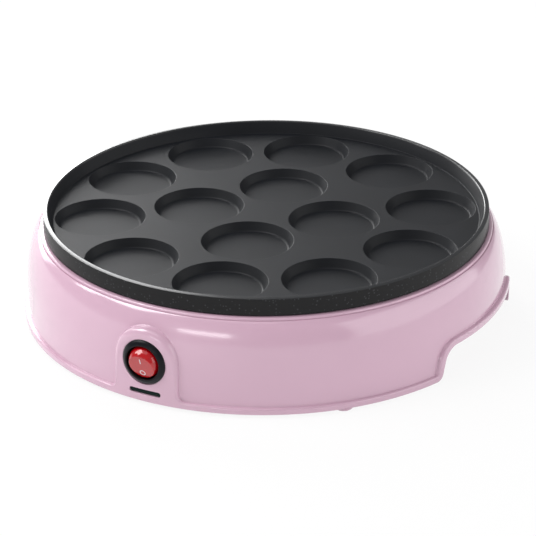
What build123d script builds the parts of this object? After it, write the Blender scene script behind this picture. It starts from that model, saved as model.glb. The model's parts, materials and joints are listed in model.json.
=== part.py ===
from build123d import *
import math
import os

# Mini pancake maker: a dished non-stick plate with round wells on a low round electric base.
# Millimetres, +Z up. The origin is on the table under the centre, and the front is towards -Y.

os.makedirs("parts", exist_ok=True)

# Driving dimensions: baking plate
plate_radius = 115.0
rim_land = 2.4
rim_edge_radius = 0.5
plate_wall_height = 8.95
plate_wall_draft = 0.4
plate_wall_thickness = 3.4
tray_depth = 6.5
tray_wall_lean = 2.4
tray_corner_radius = 0.6
plate_floor_thickness = 3.0
hole_floor = 1.5
pad_margin = 0.4
spigot_thickness = 2.4
spigot_depth = 4.0
well_radius = 23.4
well_depth = 4.6
well_wall = 2.2
well_slope = 2.6
well_lip_radius = 0.4
well_corner_radius = 1.6
well_floor_thickness = 2.8
well_rim_gap = 1.0
ring_gap = 2.8
least_well_gap = 2.0
well_pattern_angle = -77.5

# Driving dimensions: base housing
foot_height = 1.5
housing_height = 46.7
wall = 2.5
spigot_gap = 1.0
lip_step = 1.8
lip_edge_radius = 0.4
groove_width = 0.5
groove_depth = 0.5
crest_inset = 1.9
crest_drop = 0.4
shoulder_width = 9.5
shoulder_height = 29.2
wall_draft = 0.5
band_height = 3.5
band_depth = 1.8
edge_radius = 0.8
small_round = 0.5
grip_height = 16.1
grip_half_width = 47.3
grip_slant = 4.0
grip_centre_y = 4.0
grip_corner_radius = 8.0
crease_radius = 0.6

# Driving dimensions: switch boss, switch and indicator
switch_height = 21.6
boss_radius = 17.3
boss_flare_radius = 3.5
boss_front_wall = 2.7
bezel_radius = 11.7
bezel_height = 2.0
bezel_round = 1.2
bezel_inner_round = 0.4
barrel_radius = 9.9
barrel_bore = 8.8
barrel_length = 15.0
seat_depth = 0.6
snap_wing_height = 0.8
snap_wing_length = 5.0
snap_wing_width = 5.0
mark_height = 3.0
mark_stroke = 0.6
mark_spacing = 3.7
mark_thickness = 0.12
mark_ring_radius = 1.6
rocker_ball_radius = 8.5
rocker_face_distance = 5.2
rocker_wall = 1.4
rocker_back = 1.5
rocker_tilt = 18.0
rocker_pivot_depth = 2.2
pivot_pin_radius = 1.2
pivot_pin_length = 2.0
pivot_pin_root = 0.9
stem_radius = 2.6
stem_reach = 3.0
stem_floor = 1.0
plunger_radius = 1.5
plunger_length = 5.0
plunger_reach = 6.0
spring_wall = 0.5
contact_width = 3.6
contact_length = 12.0
contact_thickness = 0.6
contact_tilt = 8.0
contact_axis_radius = 0.8
contact_pad_radius = 1.0
contact_standoff = 0.2
fulcrum_post = 1.2
base_thickness = 4.0
terminal_spacing = 5.0
spade_reach = 8.0
indicator_height = 5.4
indicator_width = 17.3
indicator_thickness = 2.7
lamp_radius = 2.0
lamp_length = 11.0
lens_recess = 0.5
lens_flange = 1.2
lens_round = 0.3
lamp_lift = 1.2

# Driving dimensions: underside, fasteners and electrics
cover_thickness = 2.0
cover_recess = 1.5
cover_gap = 0.9
grip_roof_gap = 0.5
pocket_depth = 38.0
vent_length = 30.0
vent_width = 3.0
vent_pitch = 9.0
vent_rows = 5
foot_radius = 4.8
foot_stem_radius = 2.4
foot_stem_length = 5.0
foot_post_wall = 2.0
foot_angle = 45.0
post_radius = 4.5
post_angle = 50.0
post_inset = 12.0
post_floor = 2.0
cover_screw_radius = 1.5
cover_screw_length = 12.0
cover_screw_head = 3.0
slot_width = 0.8
plate_screw_count = 5
plate_screw_radius = 2.0
plate_screw_head = 3.8
plate_screw_head_height = 2.6
screw_end_gap = 0.5
screw_inset = 7.6
plate_boss_radius = 5.5
pillar_height = 7.0
pillar_wall = 1.6
pillar_clearance = 2.1
spacer_radius = 4.5
web_thickness = 2.5
shield_thickness = 0.8
shield_depth = 9.2
shield_flange = 11.5
shield_slope = 3.0
shield_drop = 2.4
window_gap = 2.0
nut_height = 1.2
element_radius = 3.3
element_bend = 9.0
element_gap_angle = 18.0
element_leg = 5.0
element_drop = 0.6
channel_wall = 1.7
bead_radius = 4.0
bead_length = 4.0
pin_radius = 1.6
pin_length = 10.0
thermostat_radius = 7.1
thermostat_cap_radius = 8.2
thermostat_cap_height = 3.0
thermostat_height = 11.0
bracket_screw_radius = 1.5
bracket_screw_spacing = 24.0
bracket_screw_head = 2.8
bracket_screw_head_height = 2.0
bracket_width = 19.0
blade_width = 6.3
blade_thickness = 0.8
blade_length = 7.0
cord_hole_radius = 6.1
cord_bore_radius = 3.4
cord_height = 13.0
cord_pad_radius = 10.0
cord_pad_depth = 0.9
bush_flange_radius = 7.5
bush_flange = 2.4
bush_length = 14.0
bush_chamfer = 1.2
bush_squeeze = 0.8
bush_lock = 2.0
bush_tail_wall = 1.6
block_width = 32.0
block_depth = 16.0
block_height = 12.0
block_y = 92.0
block_pitch = 9.0
block_bore_radius = 1.9
block_bore_height = 5.0
block_screw_head = 2.4
block_screw_head_height = 1.5
clamp_screw_radius = 1.9
clamp_screw_length = 4.8
block_screw_spacing = 27.0
fuse_radius = 2.2
fuse_length = 12.0
fuse_y = 35.0
clip_width = 8.0
clip_span = 20.0
rivet_radius = 1.5
rivet_head = 2.5
earth_x = 30.0
earth_y = 50.0
earth_tag_size = 9.0
wire_radius = 1.2
wire_lift = 5.0
crimp_wall = 0.7
lead_radius = 0.6

# Named clearances
seat_gap = 0.3
running_gap = 0.05
close_gap = 0.1
plate_gap = 0.35
overshoot = 5.0

# Levels above the table
skirt_z = foot_height
lip_top_z = skirt_z + housing_height
plate_wall_z = lip_top_z + plate_gap
rim_z = plate_wall_z + plate_wall_height
tray_z = rim_z - tray_depth
plate_under_z = tray_z - plate_floor_thickness
well_z = tray_z - well_depth
well_under_z = well_z - well_floor_thickness
grip_z = skirt_z + grip_height
cover_z = skirt_z + cover_recess
cover_top_z = cover_z + cover_thickness
pocket_z = grip_z + grip_roof_gap
switch_z = skirt_z + switch_height
indicator_z = skirt_z + indicator_height
shield_top_z = well_under_z - shield_drop
spacer_top_z = shield_top_z - shield_thickness
pillar_z = pocket_z + cover_thickness + pillar_clearance
pillar_top_z = pillar_z + pillar_height
head_seat_z = pillar_z + plate_screw_head_height + seat_gap
shield_floor_z = shield_top_z - shield_depth
shield_under_z = shield_floor_z - shield_thickness
bracket_z = well_under_z - thermostat_cap_height
element_z = well_under_z - element_radius - element_drop

# Radii from the centre
land_radius = plate_radius - rim_land
tray_radius = land_radius - tray_wall_lean
plate_foot_radius = plate_radius + plate_wall_draft
spigot_radius = plate_foot_radius - plate_wall_thickness
opening_radius = spigot_radius + spigot_gap
lip_radius = plate_foot_radius + lip_step
crest_radius = lip_radius - crest_inset
wall_radius = crest_radius + shoulder_width
skirt_radius = wall_radius + wall_draft
band_radius = skirt_radius + band_depth
shoulder_z = lip_top_z - crest_drop - shoulder_height
outer_ring = tray_radius - well_radius - well_rim_gap
inner_ring = outer_ring - 2 * well_radius - ring_gap
outer_wells = int(math.pi / math.asin((well_radius + least_well_gap / 2) / outer_ring))
inner_wells = int(math.pi / math.asin((well_radius + least_well_gap / 2) / inner_ring))
element_ring = (outer_ring + inner_ring) / 2
screw_ring = spigot_radius - spigot_thickness - screw_inset
shield_radius = screw_ring + plate_boss_radius
post_ring = skirt_radius - wall - post_inset
foot_ring = band_radius - foot_radius - seat_gap
screw_start_angle = well_pattern_angle + 180 / outer_wells


def radial_plane(angle):
    """Upright plane through the axis: its x points outward at the angle, its y points up."""
    c = math.cos(math.radians(angle))
    s = math.sin(math.radians(angle))
    return Plane(origin=(0, 0, 0), x_dir=(c, s, 0), z_dir=(s, -c, 0))


def polar(radius, angle):
    """Point at a radius and an angle from +X, in a level sketch."""
    return (radius * math.cos(math.radians(angle)), radius * math.sin(math.radians(angle)))


screw_points = [
    polar(screw_ring, screw_start_angle + k * 360 / plate_screw_count) for k in range(plate_screw_count)
]
post_points = [polar(post_ring, a) for a in (post_angle, 180 - post_angle, post_angle - 180, -post_angle)]
foot_names = {
    "foot_front_right": -foot_angle,
    "foot_front_left": foot_angle - 180,
    "foot_rear_left": 180 - foot_angle,
    "foot_rear_right": foot_angle,
}
bracket_angle = well_pattern_angle + 180 / inner_wells
bracket_points = [polar(bracket_screw_spacing, bracket_angle + turn) for turn in (0, 180)]

# Hollow of one well, about its own axis, with a rounded lip and a rounded floor corner
with BuildPart() as well_cutter:
    with BuildSketch(Plane.XZ) as well_section:
        with BuildLine():
            Polyline(
                (0, well_z),
                (well_radius - well_slope, well_z),
                (well_radius, tray_z),
                (well_radius + well_lip_radius, tray_z),
                (well_radius + well_lip_radius, tray_z + overshoot),
                (0, tray_z + overshoot),
                close=True,
            )
        make_face()
        lip_corner = well_section.vertices().filter_by(
            lambda v: abs(v.X - well_radius) < 0.01 and abs(v.Y - tray_z) < 0.01
        )
        fillet(lip_corner, well_lip_radius)
        floor_corner = well_section.vertices().filter_by(
            lambda v: abs(v.X - well_radius + well_slope) < 0.01 and abs(v.Y - well_z) < 0.01
        )
        fillet(floor_corner, well_corner_radius)
    revolve(axis=Axis.Z)

# Baking plate: one dished casting with wells, spigot, screw bosses and the element channel
with BuildPart() as baking_plate:
    with BuildSketch(Plane.XZ) as plate_section:
        with BuildLine():
            Polyline(
                (0, tray_z),
                (tray_radius, tray_z),
                (land_radius, rim_z),
                (plate_radius, rim_z),
                (plate_foot_radius, plate_wall_z),
                (spigot_radius, plate_wall_z),
                (spigot_radius, plate_under_z - spigot_depth),
                (spigot_radius - spigot_thickness, plate_under_z - spigot_depth),
                (spigot_radius - spigot_thickness, plate_under_z),
                (0, plate_under_z),
                close=True,
            )
        make_face()
        rim_corners = plate_section.vertices().group_by(Axis.Y)[-1]
        fillet(rim_corners, rim_edge_radius)
        tray_corner = plate_section.vertices().filter_by(
            lambda v: abs(v.X - tray_radius) < 0.01 and abs(v.Y - tray_z) < 0.01
        )
        fillet(tray_corner, tray_corner_radius)
    revolve(axis=Axis.Z)
    with BuildSketch(Plane.XY.offset(well_under_z)):
        with PolarLocations(outer_ring, outer_wells, start_angle=well_pattern_angle):
            Circle(well_radius + well_wall)
        with PolarLocations(inner_ring, inner_wells, start_angle=well_pattern_angle):
            Circle(well_radius + well_wall)
    extrude(amount=plate_under_z - well_under_z)
    with BuildSketch(Plane.XY.offset(shield_top_z)):
        with Locations(*screw_points):
            Circle(plate_boss_radius)
    extrude(amount=plate_under_z - shield_top_z)
    with BuildSketch(Plane.XY.offset(bracket_z)):
        with Locations(*bracket_points):
            Circle(post_radius)
    extrude(amount=plate_under_z - bracket_z)
    with BuildSketch(Plane.XY.offset(well_under_z)):
        Circle(thermostat_cap_radius + pad_margin)
    extrude(amount=plate_under_z - well_under_z)
    with BuildSketch(radial_plane(-90 + element_gap_angle)):
        with Locations((element_ring, (element_z + plate_under_z) / 2)):
            Rectangle(2 * (element_radius + channel_wall), plate_under_z - element_z)
        with Locations((element_ring, element_z)):
            Circle(element_radius + running_gap, mode=Mode.SUBTRACT)
    revolve(axis=Axis.Z, revolution_arc=360 - 2 * element_gap_angle)
    with PolarLocations(outer_ring, outer_wells, start_angle=well_pattern_angle):
        add(well_cutter.part, mode=Mode.SUBTRACT)
    with PolarLocations(inner_ring, inner_wells, start_angle=well_pattern_angle):
        add(well_cutter.part, mode=Mode.SUBTRACT)
    with Locations(*[(x, y, shield_top_z) for x, y in screw_points]):
        Cylinder(
            plate_screw_radius + close_gap,
            plate_under_z - shield_top_z - hole_floor,
            align=(Align.CENTER, Align.CENTER, Align.MIN),
            mode=Mode.SUBTRACT,
        )
    with Locations(*[(x, y, bracket_z) for x, y in bracket_points]):
        Cylinder(
            bracket_screw_radius + close_gap,
            thermostat_cap_height + screw_end_gap,
            align=(Align.CENTER, Align.CENTER, Align.MIN),
            mode=Mode.SUBTRACT,
        )
baking_plate.part.label = "baking_plate"
export_step(baking_plate.part, "parts/baking_plate.step")

# Housing wall: one moulded shell with a draft, an elliptical shoulder, a groove and the lip round the plate
def shoulder_level(radius, inset):
    """Height of the shoulder's ellipse at a radius, on the outside or drawn in by the inset."""
    share = (radius - crest_radius) / (shoulder_width - inset)
    return shoulder_z + (shoulder_height - inset) * math.sqrt(1 - share * share)


groove_radius = lip_radius + groove_width
groove_top_z = shoulder_level(groove_radius, 0)
inner_turn_radius = crest_radius + wall

with BuildPart() as wall_body:
    with BuildSketch(Plane.XZ):
        with BuildLine():
            arc_share = math.degrees(math.acos((groove_radius - crest_radius) / shoulder_width))
            shoulder = EllipticalCenterArc(
                (crest_radius, shoulder_z), shoulder_width, shoulder_height, 0, arc_size=arc_share
            )
            Polyline(
                shoulder @ 1,
                (groove_radius, groove_top_z - groove_depth),
                (lip_radius, groove_top_z - groove_depth),
                (lip_radius, lip_top_z - lip_edge_radius),
                (lip_radius - lip_edge_radius, lip_top_z),
                (0, lip_top_z),
                (0, skirt_z),
                (skirt_radius, skirt_z),
                shoulder @ 0,
            )
        make_face()
    revolve(axis=Axis.Z)

with BuildPart() as wall_cavity:
    with BuildSketch(Plane.XZ):
        with BuildLine():
            inner_share = math.degrees(
                math.acos((inner_turn_radius - crest_radius) / (shoulder_width - wall))
            )
            vault = EllipticalCenterArc(
                (crest_radius, shoulder_z),
                shoulder_width - wall,
                shoulder_height - wall,
                0,
                arc_size=inner_share,
            )
            Polyline(
                vault @ 1,
                (opening_radius, shoulder_level(inner_turn_radius, wall)),
                (opening_radius, lip_top_z + overshoot),
                (0, lip_top_z + overshoot),
                (0, skirt_z - overshoot),
                (skirt_radius - wall, skirt_z - overshoot),
                (skirt_radius - wall, skirt_z),
                vault @ 0,
            )
        make_face()
    revolve(axis=Axis.Z)

# Hand grips: an opening through the skirt on each side, with round corners
grip_top_half = grip_half_width - grip_slant
grip_foot_radius = band_height + crease_radius
with BuildPart() as grip_cutter:
    with BuildSketch(Plane.YZ) as grip_outline:
        with BuildLine():
            Polyline(
                (grip_centre_y - 2 * band_radius, skirt_z - overshoot),
                (grip_centre_y - 2 * band_radius, skirt_z),
                (grip_centre_y - grip_half_width, skirt_z),
                (grip_centre_y - grip_top_half, grip_z),
                (grip_centre_y + grip_top_half, grip_z),
                (grip_centre_y + grip_half_width, skirt_z),
                (grip_centre_y + 2 * band_radius, skirt_z),
                (grip_centre_y + 2 * band_radius, skirt_z - overshoot),
                close=True,
            )
        make_face()
        fillet(grip_outline.vertices().group_by(Axis.Y)[-1], grip_corner_radius)
        grip_feet = grip_outline.vertices().filter_by(
            lambda v: abs(v.Y - skirt_z) < 0.01 and abs(abs(v.X - grip_centre_y) - grip_half_width) < 0.01
        )
        fillet(grip_feet, grip_foot_radius)
    extrude(amount=2 * band_radius, both=True)

# Outline of the raised band as seen square on: the foot band, the grip surrounds and the switch boss
with BuildPart() as band_outline:
    with BuildSketch(Plane.YZ):
        add(grip_outline.sketch_local)
        offset(amount=band_height)
    extrude(amount=2 * band_radius, both=True)
    with BuildSketch(Plane.XZ) as boss_outline:
        with Locations((0, skirt_z)):
            Rectangle(2 * (boss_radius + 3 * boss_flare_radius), band_height, align=(Align.CENTER, Align.MIN))
            Rectangle(2 * boss_radius, switch_height, align=(Align.CENTER, Align.MIN))
        with Locations((0, switch_z)):
            Circle(boss_radius)
        flare_corners = boss_outline.vertices().filter_by(
            lambda v: abs(v.Y - skirt_z - band_height) < 0.01 and abs(abs(v.X) - boss_radius) < 0.01
        )
        fillet(flare_corners, boss_flare_radius)
    extrude(amount=2 * band_radius)

with BuildPart() as raised_band:
    Cylinder(band_radius, boss_radius + switch_z, align=(Align.CENTER, Align.CENTER, Align.MIN))
    add(band_outline.part, mode=Mode.INTERSECT)
    split(bisect_by=Plane.XY.offset(skirt_z), keep=Keep.TOP)
    add(grip_cutter.part, mode=Mode.SUBTRACT)
    outer_edges = raised_band.edges().filter_by(
        lambda e: abs(math.hypot((e @ 0.5).X, (e @ 0.5).Y) - band_radius) < 0.01
    )
    fillet(outer_edges, edge_radius)

# Posts inside the shell: pillars for the plate screws, posts for the cover screws and the feet
with BuildPart() as inner_posts:
    with BuildSketch(Plane.XY.offset(pillar_z)):
        with Locations(*screw_points):
            Circle(plate_screw_head + seat_gap + pillar_wall)
    extrude(amount=pillar_height)
    with BuildSketch(Plane.XY.offset(pillar_z)):
        for k in range(plate_screw_count):
            with Locations(Location((0, 0), screw_start_angle + k * 360 / plate_screw_count)):
                with Locations((screw_ring + plate_screw_head + pillar_wall, 0)):
                    Rectangle(3 * post_inset, web_thickness, align=(Align.MIN, Align.CENTER))
    extrude(amount=pillar_height)
    with BuildSketch(Plane.XY.offset(cover_top_z)):
        with Locations(*post_points):
            Circle(post_radius)
        for a in (post_angle, 180 - post_angle, post_angle - 180, -post_angle):
            with Locations(Location((0, 0), a)):
                with Locations((post_ring + post_radius / 2, 0)):
                    Rectangle(3 * post_inset, web_thickness, align=(Align.MIN, Align.CENTER))
    extrude(amount=cover_screw_length + post_floor)
    with BuildSketch(Plane.XY.offset(skirt_z)):
        with PolarLocations(foot_ring, 4, start_angle=foot_angle):
            Circle(foot_stem_radius + foot_post_wall)
    extrude(amount=foot_stem_length + post_floor)
    add(wall_body.part, mode=Mode.INTERSECT)
    with BuildSketch(Plane.XY.offset(pillar_z)):
        with Locations(*screw_points):
            Circle(plate_screw_head + seat_gap)
    extrude(amount=head_seat_z - pillar_z, mode=Mode.SUBTRACT)
    with BuildSketch(Plane.XY.offset(pillar_z)):
        with Locations(*screw_points):
            Circle(plate_screw_radius + close_gap)
    extrude(amount=pillar_height, mode=Mode.SUBTRACT)
    with BuildSketch(Plane.XY.offset(cover_top_z)):
        with Locations(*post_points):
            Circle(cover_screw_radius + running_gap)
    extrude(amount=cover_screw_length, mode=Mode.SUBTRACT)
    with BuildSketch(Plane.XY.offset(skirt_z)):
        with PolarLocations(foot_ring, 4, start_angle=foot_angle):
            Circle(foot_stem_radius)
    extrude(amount=foot_stem_length + seat_gap, mode=Mode.SUBTRACT)

seat_y = -(band_radius - seat_depth)
front_inner_y = -(band_radius - boss_front_wall)
cord_pad_y = skirt_radius + cord_pad_depth
cord_z = skirt_z + cord_height

with BuildPart() as base_housing:
    add(wall_body.part)
    add(raised_band.part)
    with Locations((0, 0, cord_z)):
        Cylinder(
            cord_pad_radius,
            cord_pad_y,
            rotation=(-90, 0, 0),
            align=(Align.CENTER, Align.CENTER, Align.MIN),
        )
    add(wall_cavity.part, mode=Mode.SUBTRACT)
    with BuildSketch(Plane.XZ):
        with Locations((0, cover_top_z + seat_gap)):
            Rectangle(
                2 * (boss_radius - wall),
                switch_z - cover_top_z - seat_gap,
                align=(Align.CENTER, Align.MIN),
            )
        with Locations((0, switch_z)):
            Circle(boss_radius - wall)
    extrude(amount=band_radius - boss_front_wall, mode=Mode.SUBTRACT)
    with BuildSketch(Plane.XZ.offset(-seat_y)):
        with Locations((0, switch_z)):
            Circle(bezel_radius + seat_gap)
    extrude(amount=overshoot, mode=Mode.SUBTRACT)
    with BuildSketch(Plane.XZ.offset(-front_inner_y - overshoot)):
        with Locations((0, switch_z)):
            Circle(barrel_radius + close_gap)
        with Locations((0, indicator_z)):
            SlotOverall(indicator_width, indicator_thickness)
    extrude(amount=2 * overshoot, mode=Mode.SUBTRACT)
    with Locations((0, 0, cord_z)):
        Cylinder(
            cord_hole_radius,
            cord_pad_y + overshoot,
            rotation=(-90, 0, 0),
            align=(Align.CENTER, Align.CENTER, Align.MIN),
            mode=Mode.SUBTRACT,
        )
    with BuildSketch(Plane.XY.offset(skirt_z)):
        with PolarLocations(foot_ring, 4, start_angle=foot_angle):
            Circle(foot_stem_radius)
    extrude(amount=foot_stem_length + seat_gap, mode=Mode.SUBTRACT)
    add(inner_posts.part)
    add(grip_cutter.part, mode=Mode.SUBTRACT)
base_housing.part.label = "base_housing"
export_step(base_housing.part, "parts/base_housing.step")

# Feet: domed pads with a stem pressed into the skirt
for foot_name, angle in foot_names.items():
    with BuildPart() as foot:
        with Locations((*polar(foot_ring, angle), 0)):
            Cylinder(foot_radius, foot_height, align=(Align.CENTER, Align.CENTER, Align.MIN))
        fillet(foot.edges().group_by(Axis.Z)[0], foot_height * 0.6)
        with Locations((*polar(foot_ring, angle), foot_height)):
            Cylinder(
                foot_stem_radius - running_gap,
                foot_stem_length,
                align=(Align.CENTER, Align.CENTER, Align.MIN),
            )
    foot.part.label = foot_name
    export_step(foot.part, f"parts/{foot_name}.step")

# Bottom cover: a vented disc with a pocket over each hand grip
cover_radius = skirt_radius - wall - cover_gap
pocket_x = cover_radius - pocket_depth
pocket_half = grip_half_width + cover_gap + cover_thickness
with BuildPart() as bottom_cover:
    with BuildSketch(Plane.XY.offset(cover_z)):
        Circle(cover_radius)
    extrude(amount=pocket_z + cover_thickness - cover_z)
    with BuildSketch(Plane.XY.offset(cover_top_z)):
        Rectangle(2 * pocket_x, 4 * cover_radius)
        with Locations((0, grip_centre_y + pocket_half)):
            Rectangle(4 * cover_radius, 4 * cover_radius, align=(Align.CENTER, Align.MIN))
        with Locations((0, grip_centre_y - pocket_half)):
            Rectangle(4 * cover_radius, 4 * cover_radius, align=(Align.CENTER, Align.MAX))
    extrude(amount=pocket_z, mode=Mode.SUBTRACT)
    with BuildSketch(Plane.XY.offset(cover_z - overshoot)):
        for side in (-1, 1):
            with Locations((side * (pocket_x + cover_thickness), grip_centre_y)):
                Rectangle(
                    2 * pocket_depth,
                    2 * (pocket_half - cover_thickness),
                    align=(Align.MIN if side > 0 else Align.MAX, Align.CENTER),
                )
    extrude(amount=pocket_z - cover_z + overshoot, mode=Mode.SUBTRACT)
    with BuildSketch(Plane.XY.offset(cover_z)):
        with PolarLocations(foot_ring, 4, start_angle=foot_angle):
            Circle(foot_stem_radius + foot_post_wall + seat_gap)
        with GridLocations(vent_length * 1.3, vent_pitch, 2, vent_rows):
            SlotOverall(vent_length, vent_width)
        with Locations(*post_points):
            Circle(cover_screw_radius + close_gap)
        with Locations((-block_screw_spacing / 2, block_y), (block_screw_spacing / 2, block_y)):
            Circle(cover_screw_radius + close_gap)
    extrude(amount=cover_thickness, mode=Mode.SUBTRACT)
    with Locations(*[(x, y, cover_z) for x, y in post_points]):
        Cone(
            cover_screw_head + close_gap,
            cover_screw_radius + close_gap,
            cover_screw_head - cover_screw_radius,
            align=(Align.CENTER, Align.CENTER, Align.MIN),
            mode=Mode.SUBTRACT,
        )
bottom_cover.part.label = "bottom_cover"
export_step(bottom_cover.part, "parts/bottom_cover.step")

with BuildPart() as cover_screws:
    with Locations(*[(x, y, cover_z) for x, y in post_points]):
        Cone(
            cover_screw_head,
            cover_screw_radius,
            cover_screw_head - cover_screw_radius,
            align=(Align.CENTER, Align.CENTER, Align.MIN),
        )
        Cylinder(cover_screw_radius, cover_screw_length, align=(Align.CENTER, Align.CENTER, Align.MIN))
        Box(
            cover_screw_head,
            cover_screw_radius / 2,
            cover_screw_radius / 3,
            align=(Align.CENTER, Align.CENTER, Align.MIN),
            mode=Mode.SUBTRACT,
        )
        Box(
            cover_screw_radius / 2,
            cover_screw_head,
            cover_screw_radius / 3,
            align=(Align.CENTER, Align.CENTER, Align.MIN),
            mode=Mode.SUBTRACT,
        )
cover_screws.part.label = "cover_screws"
export_step(cover_screws.part, "parts/cover_screws.step")

# Cord bush: rubber inlet in the rear wall, empty because the photographed object shows no cord
bush_inner_y = skirt_radius - wall - bush_squeeze
with BuildPart() as cord_bush:
    with BuildSketch(Plane.YZ) as bush_section:
        with BuildLine():
            Polyline(
                (cord_pad_y + bush_flange, cord_z + cord_bore_radius),
                (cord_pad_y + bush_flange, cord_z + bush_flange_radius - bush_chamfer),
                (cord_pad_y + bush_flange - bush_chamfer, cord_z + bush_flange_radius),
                (cord_pad_y, cord_z + bush_flange_radius),
                (cord_pad_y, cord_z + cord_hole_radius - close_gap),
                (bush_inner_y, cord_z + cord_hole_radius - close_gap),
                (bush_inner_y, cord_z + bush_flange_radius - small_round),
                (bush_inner_y - bush_lock, cord_z + bush_flange_radius - small_round),
                (cord_pad_y + bush_flange - bush_length, cord_z + cord_bore_radius + bush_tail_wall),
                (cord_pad_y + bush_flange - bush_length, cord_z + cord_bore_radius),
                close=True,
            )
        make_face()
    revolve(axis=Axis((0, 0, cord_z), (0, 1, 0)))
cord_bush.part.label = "cord_bush"
export_step(cord_bush.part, "parts/cord_bush.step")

# Heat shield: a pan clamped between the plate's bosses and the spacers
leg_centres = []
leg_tangents = []
for sign in (1, -1):
    ring_angle = -90 + sign * element_gap_angle
    ring_x, ring_y = polar(element_ring, ring_angle)
    tangent = (sign * math.sin(math.radians(ring_angle)), -sign * math.cos(math.radians(ring_angle)))
    leg_tangents.append((ring_x, ring_y, tangent))
    leg_centres.append((ring_x + element_bend * tangent[0], ring_y + element_bend * tangent[1]))

shield_wall_radius = shield_radius - shield_flange
rivet_reach = clip_span / 2 - rivet_head
rivet_points = [(0, fuse_y - rivet_reach), (0, fuse_y + rivet_reach)]
with BuildPart() as heat_shield:
    with BuildSketch(Plane.XZ) as shield_section:
        with BuildLine():
            Polyline(
                (0, shield_under_z),
                (shield_wall_radius - shield_slope, shield_under_z),
                (shield_wall_radius + shield_thickness, shield_top_z - shield_thickness),
                (shield_radius, shield_top_z - shield_thickness),
                (shield_radius, shield_top_z),
                (shield_wall_radius, shield_top_z),
                (shield_wall_radius - shield_slope - shield_thickness, shield_floor_z),
                (0, shield_floor_z),
                close=True,
            )
        make_face()
    revolve(axis=Axis.Z)
    with BuildSketch(Plane.XY.offset(shield_under_z)):
        Circle(thermostat_radius + window_gap)
        with Locations(*leg_centres):
            Circle(bead_radius + window_gap / 2)
        with Locations((earth_x, earth_y)):
            Circle(plate_screw_radius + close_gap)
        with Locations(*rivet_points):
            Circle(rivet_radius)
    extrude(amount=shield_thickness, mode=Mode.SUBTRACT)
    with BuildSketch(Plane.XY.offset(shield_top_z)):
        with Locations(*screw_points):
            Circle(plate_screw_radius + close_gap)
    extrude(amount=-shield_thickness, mode=Mode.SUBTRACT)
heat_shield.part.label = "heat_shield"
export_step(heat_shield.part, "parts/heat_shield.step")

# Spacers and long screws that hold the plate and the shield off the housing's pillars
with BuildPart() as plate_spacers:
    with BuildSketch(Plane.XY.offset(pillar_top_z)):
        with Locations(*screw_points):
            Circle(spacer_radius)
            Circle(plate_screw_radius + close_gap, mode=Mode.SUBTRACT)
    extrude(amount=spacer_top_z - pillar_top_z)
plate_spacers.part.label = "plate_spacers"
export_step(plate_spacers.part, "parts/plate_spacers.step")

with BuildPart() as plate_screws:
    with BuildSketch(Plane.XY.offset(head_seat_z)):
        with Locations(*screw_points):
            Circle(plate_screw_head)
            Rectangle(plate_screw_radius * 2, slot_width, mode=Mode.SUBTRACT)
            Rectangle(slot_width, plate_screw_radius * 2, mode=Mode.SUBTRACT)
    extrude(amount=-plate_screw_head_height)
    with BuildSketch(Plane.XY.offset(head_seat_z - plate_screw_head_height / 2)):
        with Locations(*screw_points):
            Circle(plate_screw_radius)
    extrude(amount=plate_under_z - hole_floor - screw_end_gap - head_seat_z + plate_screw_head_height / 2)
plate_screws.part.label = "plate_screws"
export_step(plate_screws.part, "parts/plate_screws.step")

# Heating element: an open loop in the plate's channel, with both ends bent down
with BuildPart() as heating_element:
    loop_start = -90 + element_gap_angle
    with BuildLine(Plane.XY.offset(element_z)) as element_loop:
        CenterArc((0, 0), element_ring, loop_start, 360 - 2 * element_gap_angle)
    with BuildSketch(radial_plane(loop_start)) as loop_section:
        with Locations((element_ring, element_z)):
            Circle(element_radius)
    sweep(path=element_loop.wires()[0])
    for ring_x, ring_y, tangent in leg_tangents:
        leg_plane = Plane(
            origin=(ring_x, ring_y, element_z),
            x_dir=(*tangent, 0),
            z_dir=Vector(*tangent, 0).cross(Vector(0, 0, 1)),
        )
        with BuildLine(leg_plane) as leg_path:
            CenterArc((0, -element_bend), element_bend, 90, -90)
            Line((element_bend, -element_bend), (element_bend, -element_bend - element_leg))
        with BuildSketch(Plane(origin=(ring_x, ring_y, element_z), z_dir=(*tangent, 0))):
            Circle(element_radius)
        sweep(path=leg_path.wires()[0])
heating_element.part.label = "heating_element"
export_step(heating_element.part, "parts/heating_element.step")

element_end_z = element_z - element_bend - element_leg
with BuildPart() as element_beads:
    with BuildSketch(Plane.XY.offset(element_end_z)):
        with Locations(*leg_centres):
            Circle(bead_radius)
            Circle(pin_radius + running_gap, mode=Mode.SUBTRACT)
    extrude(amount=-bead_length)
element_beads.part.label = "element_beads"
export_step(element_beads.part, "parts/element_beads.step")

with BuildPart() as element_pins:
    with BuildSketch(Plane.XY.offset(element_end_z)):
        with Locations(*leg_centres):
            Circle(pin_radius)
    extrude(amount=-pin_length)
element_pins.part.label = "element_pins"
export_step(element_pins.part, "parts/element_pins.step")

# Thermostat: a snap disc in a cap held to the plate's centre by a strap
with BuildPart() as thermostat_cap:
    with Locations((0, 0, bracket_z)):
        Cylinder(
            thermostat_cap_radius, thermostat_cap_height, align=(Align.CENTER, Align.CENTER, Align.MIN)
        )
    fillet(thermostat_cap.edges().group_by(Axis.Z)[-1], small_round)
thermostat_cap.part.label = "thermostat_cap"
export_step(thermostat_cap.part, "parts/thermostat_cap.step")

with BuildPart() as thermostat_body:
    with Locations((0, 0, bracket_z)):
        Cylinder(thermostat_radius, thermostat_height, align=(Align.CENTER, Align.CENTER, Align.MAX))
    chamfer(thermostat_body.edges().group_by(Axis.Z)[0], small_round)
thermostat_body.part.label = "thermostat_body"
export_step(thermostat_body.part, "parts/thermostat_body.step")

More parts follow.
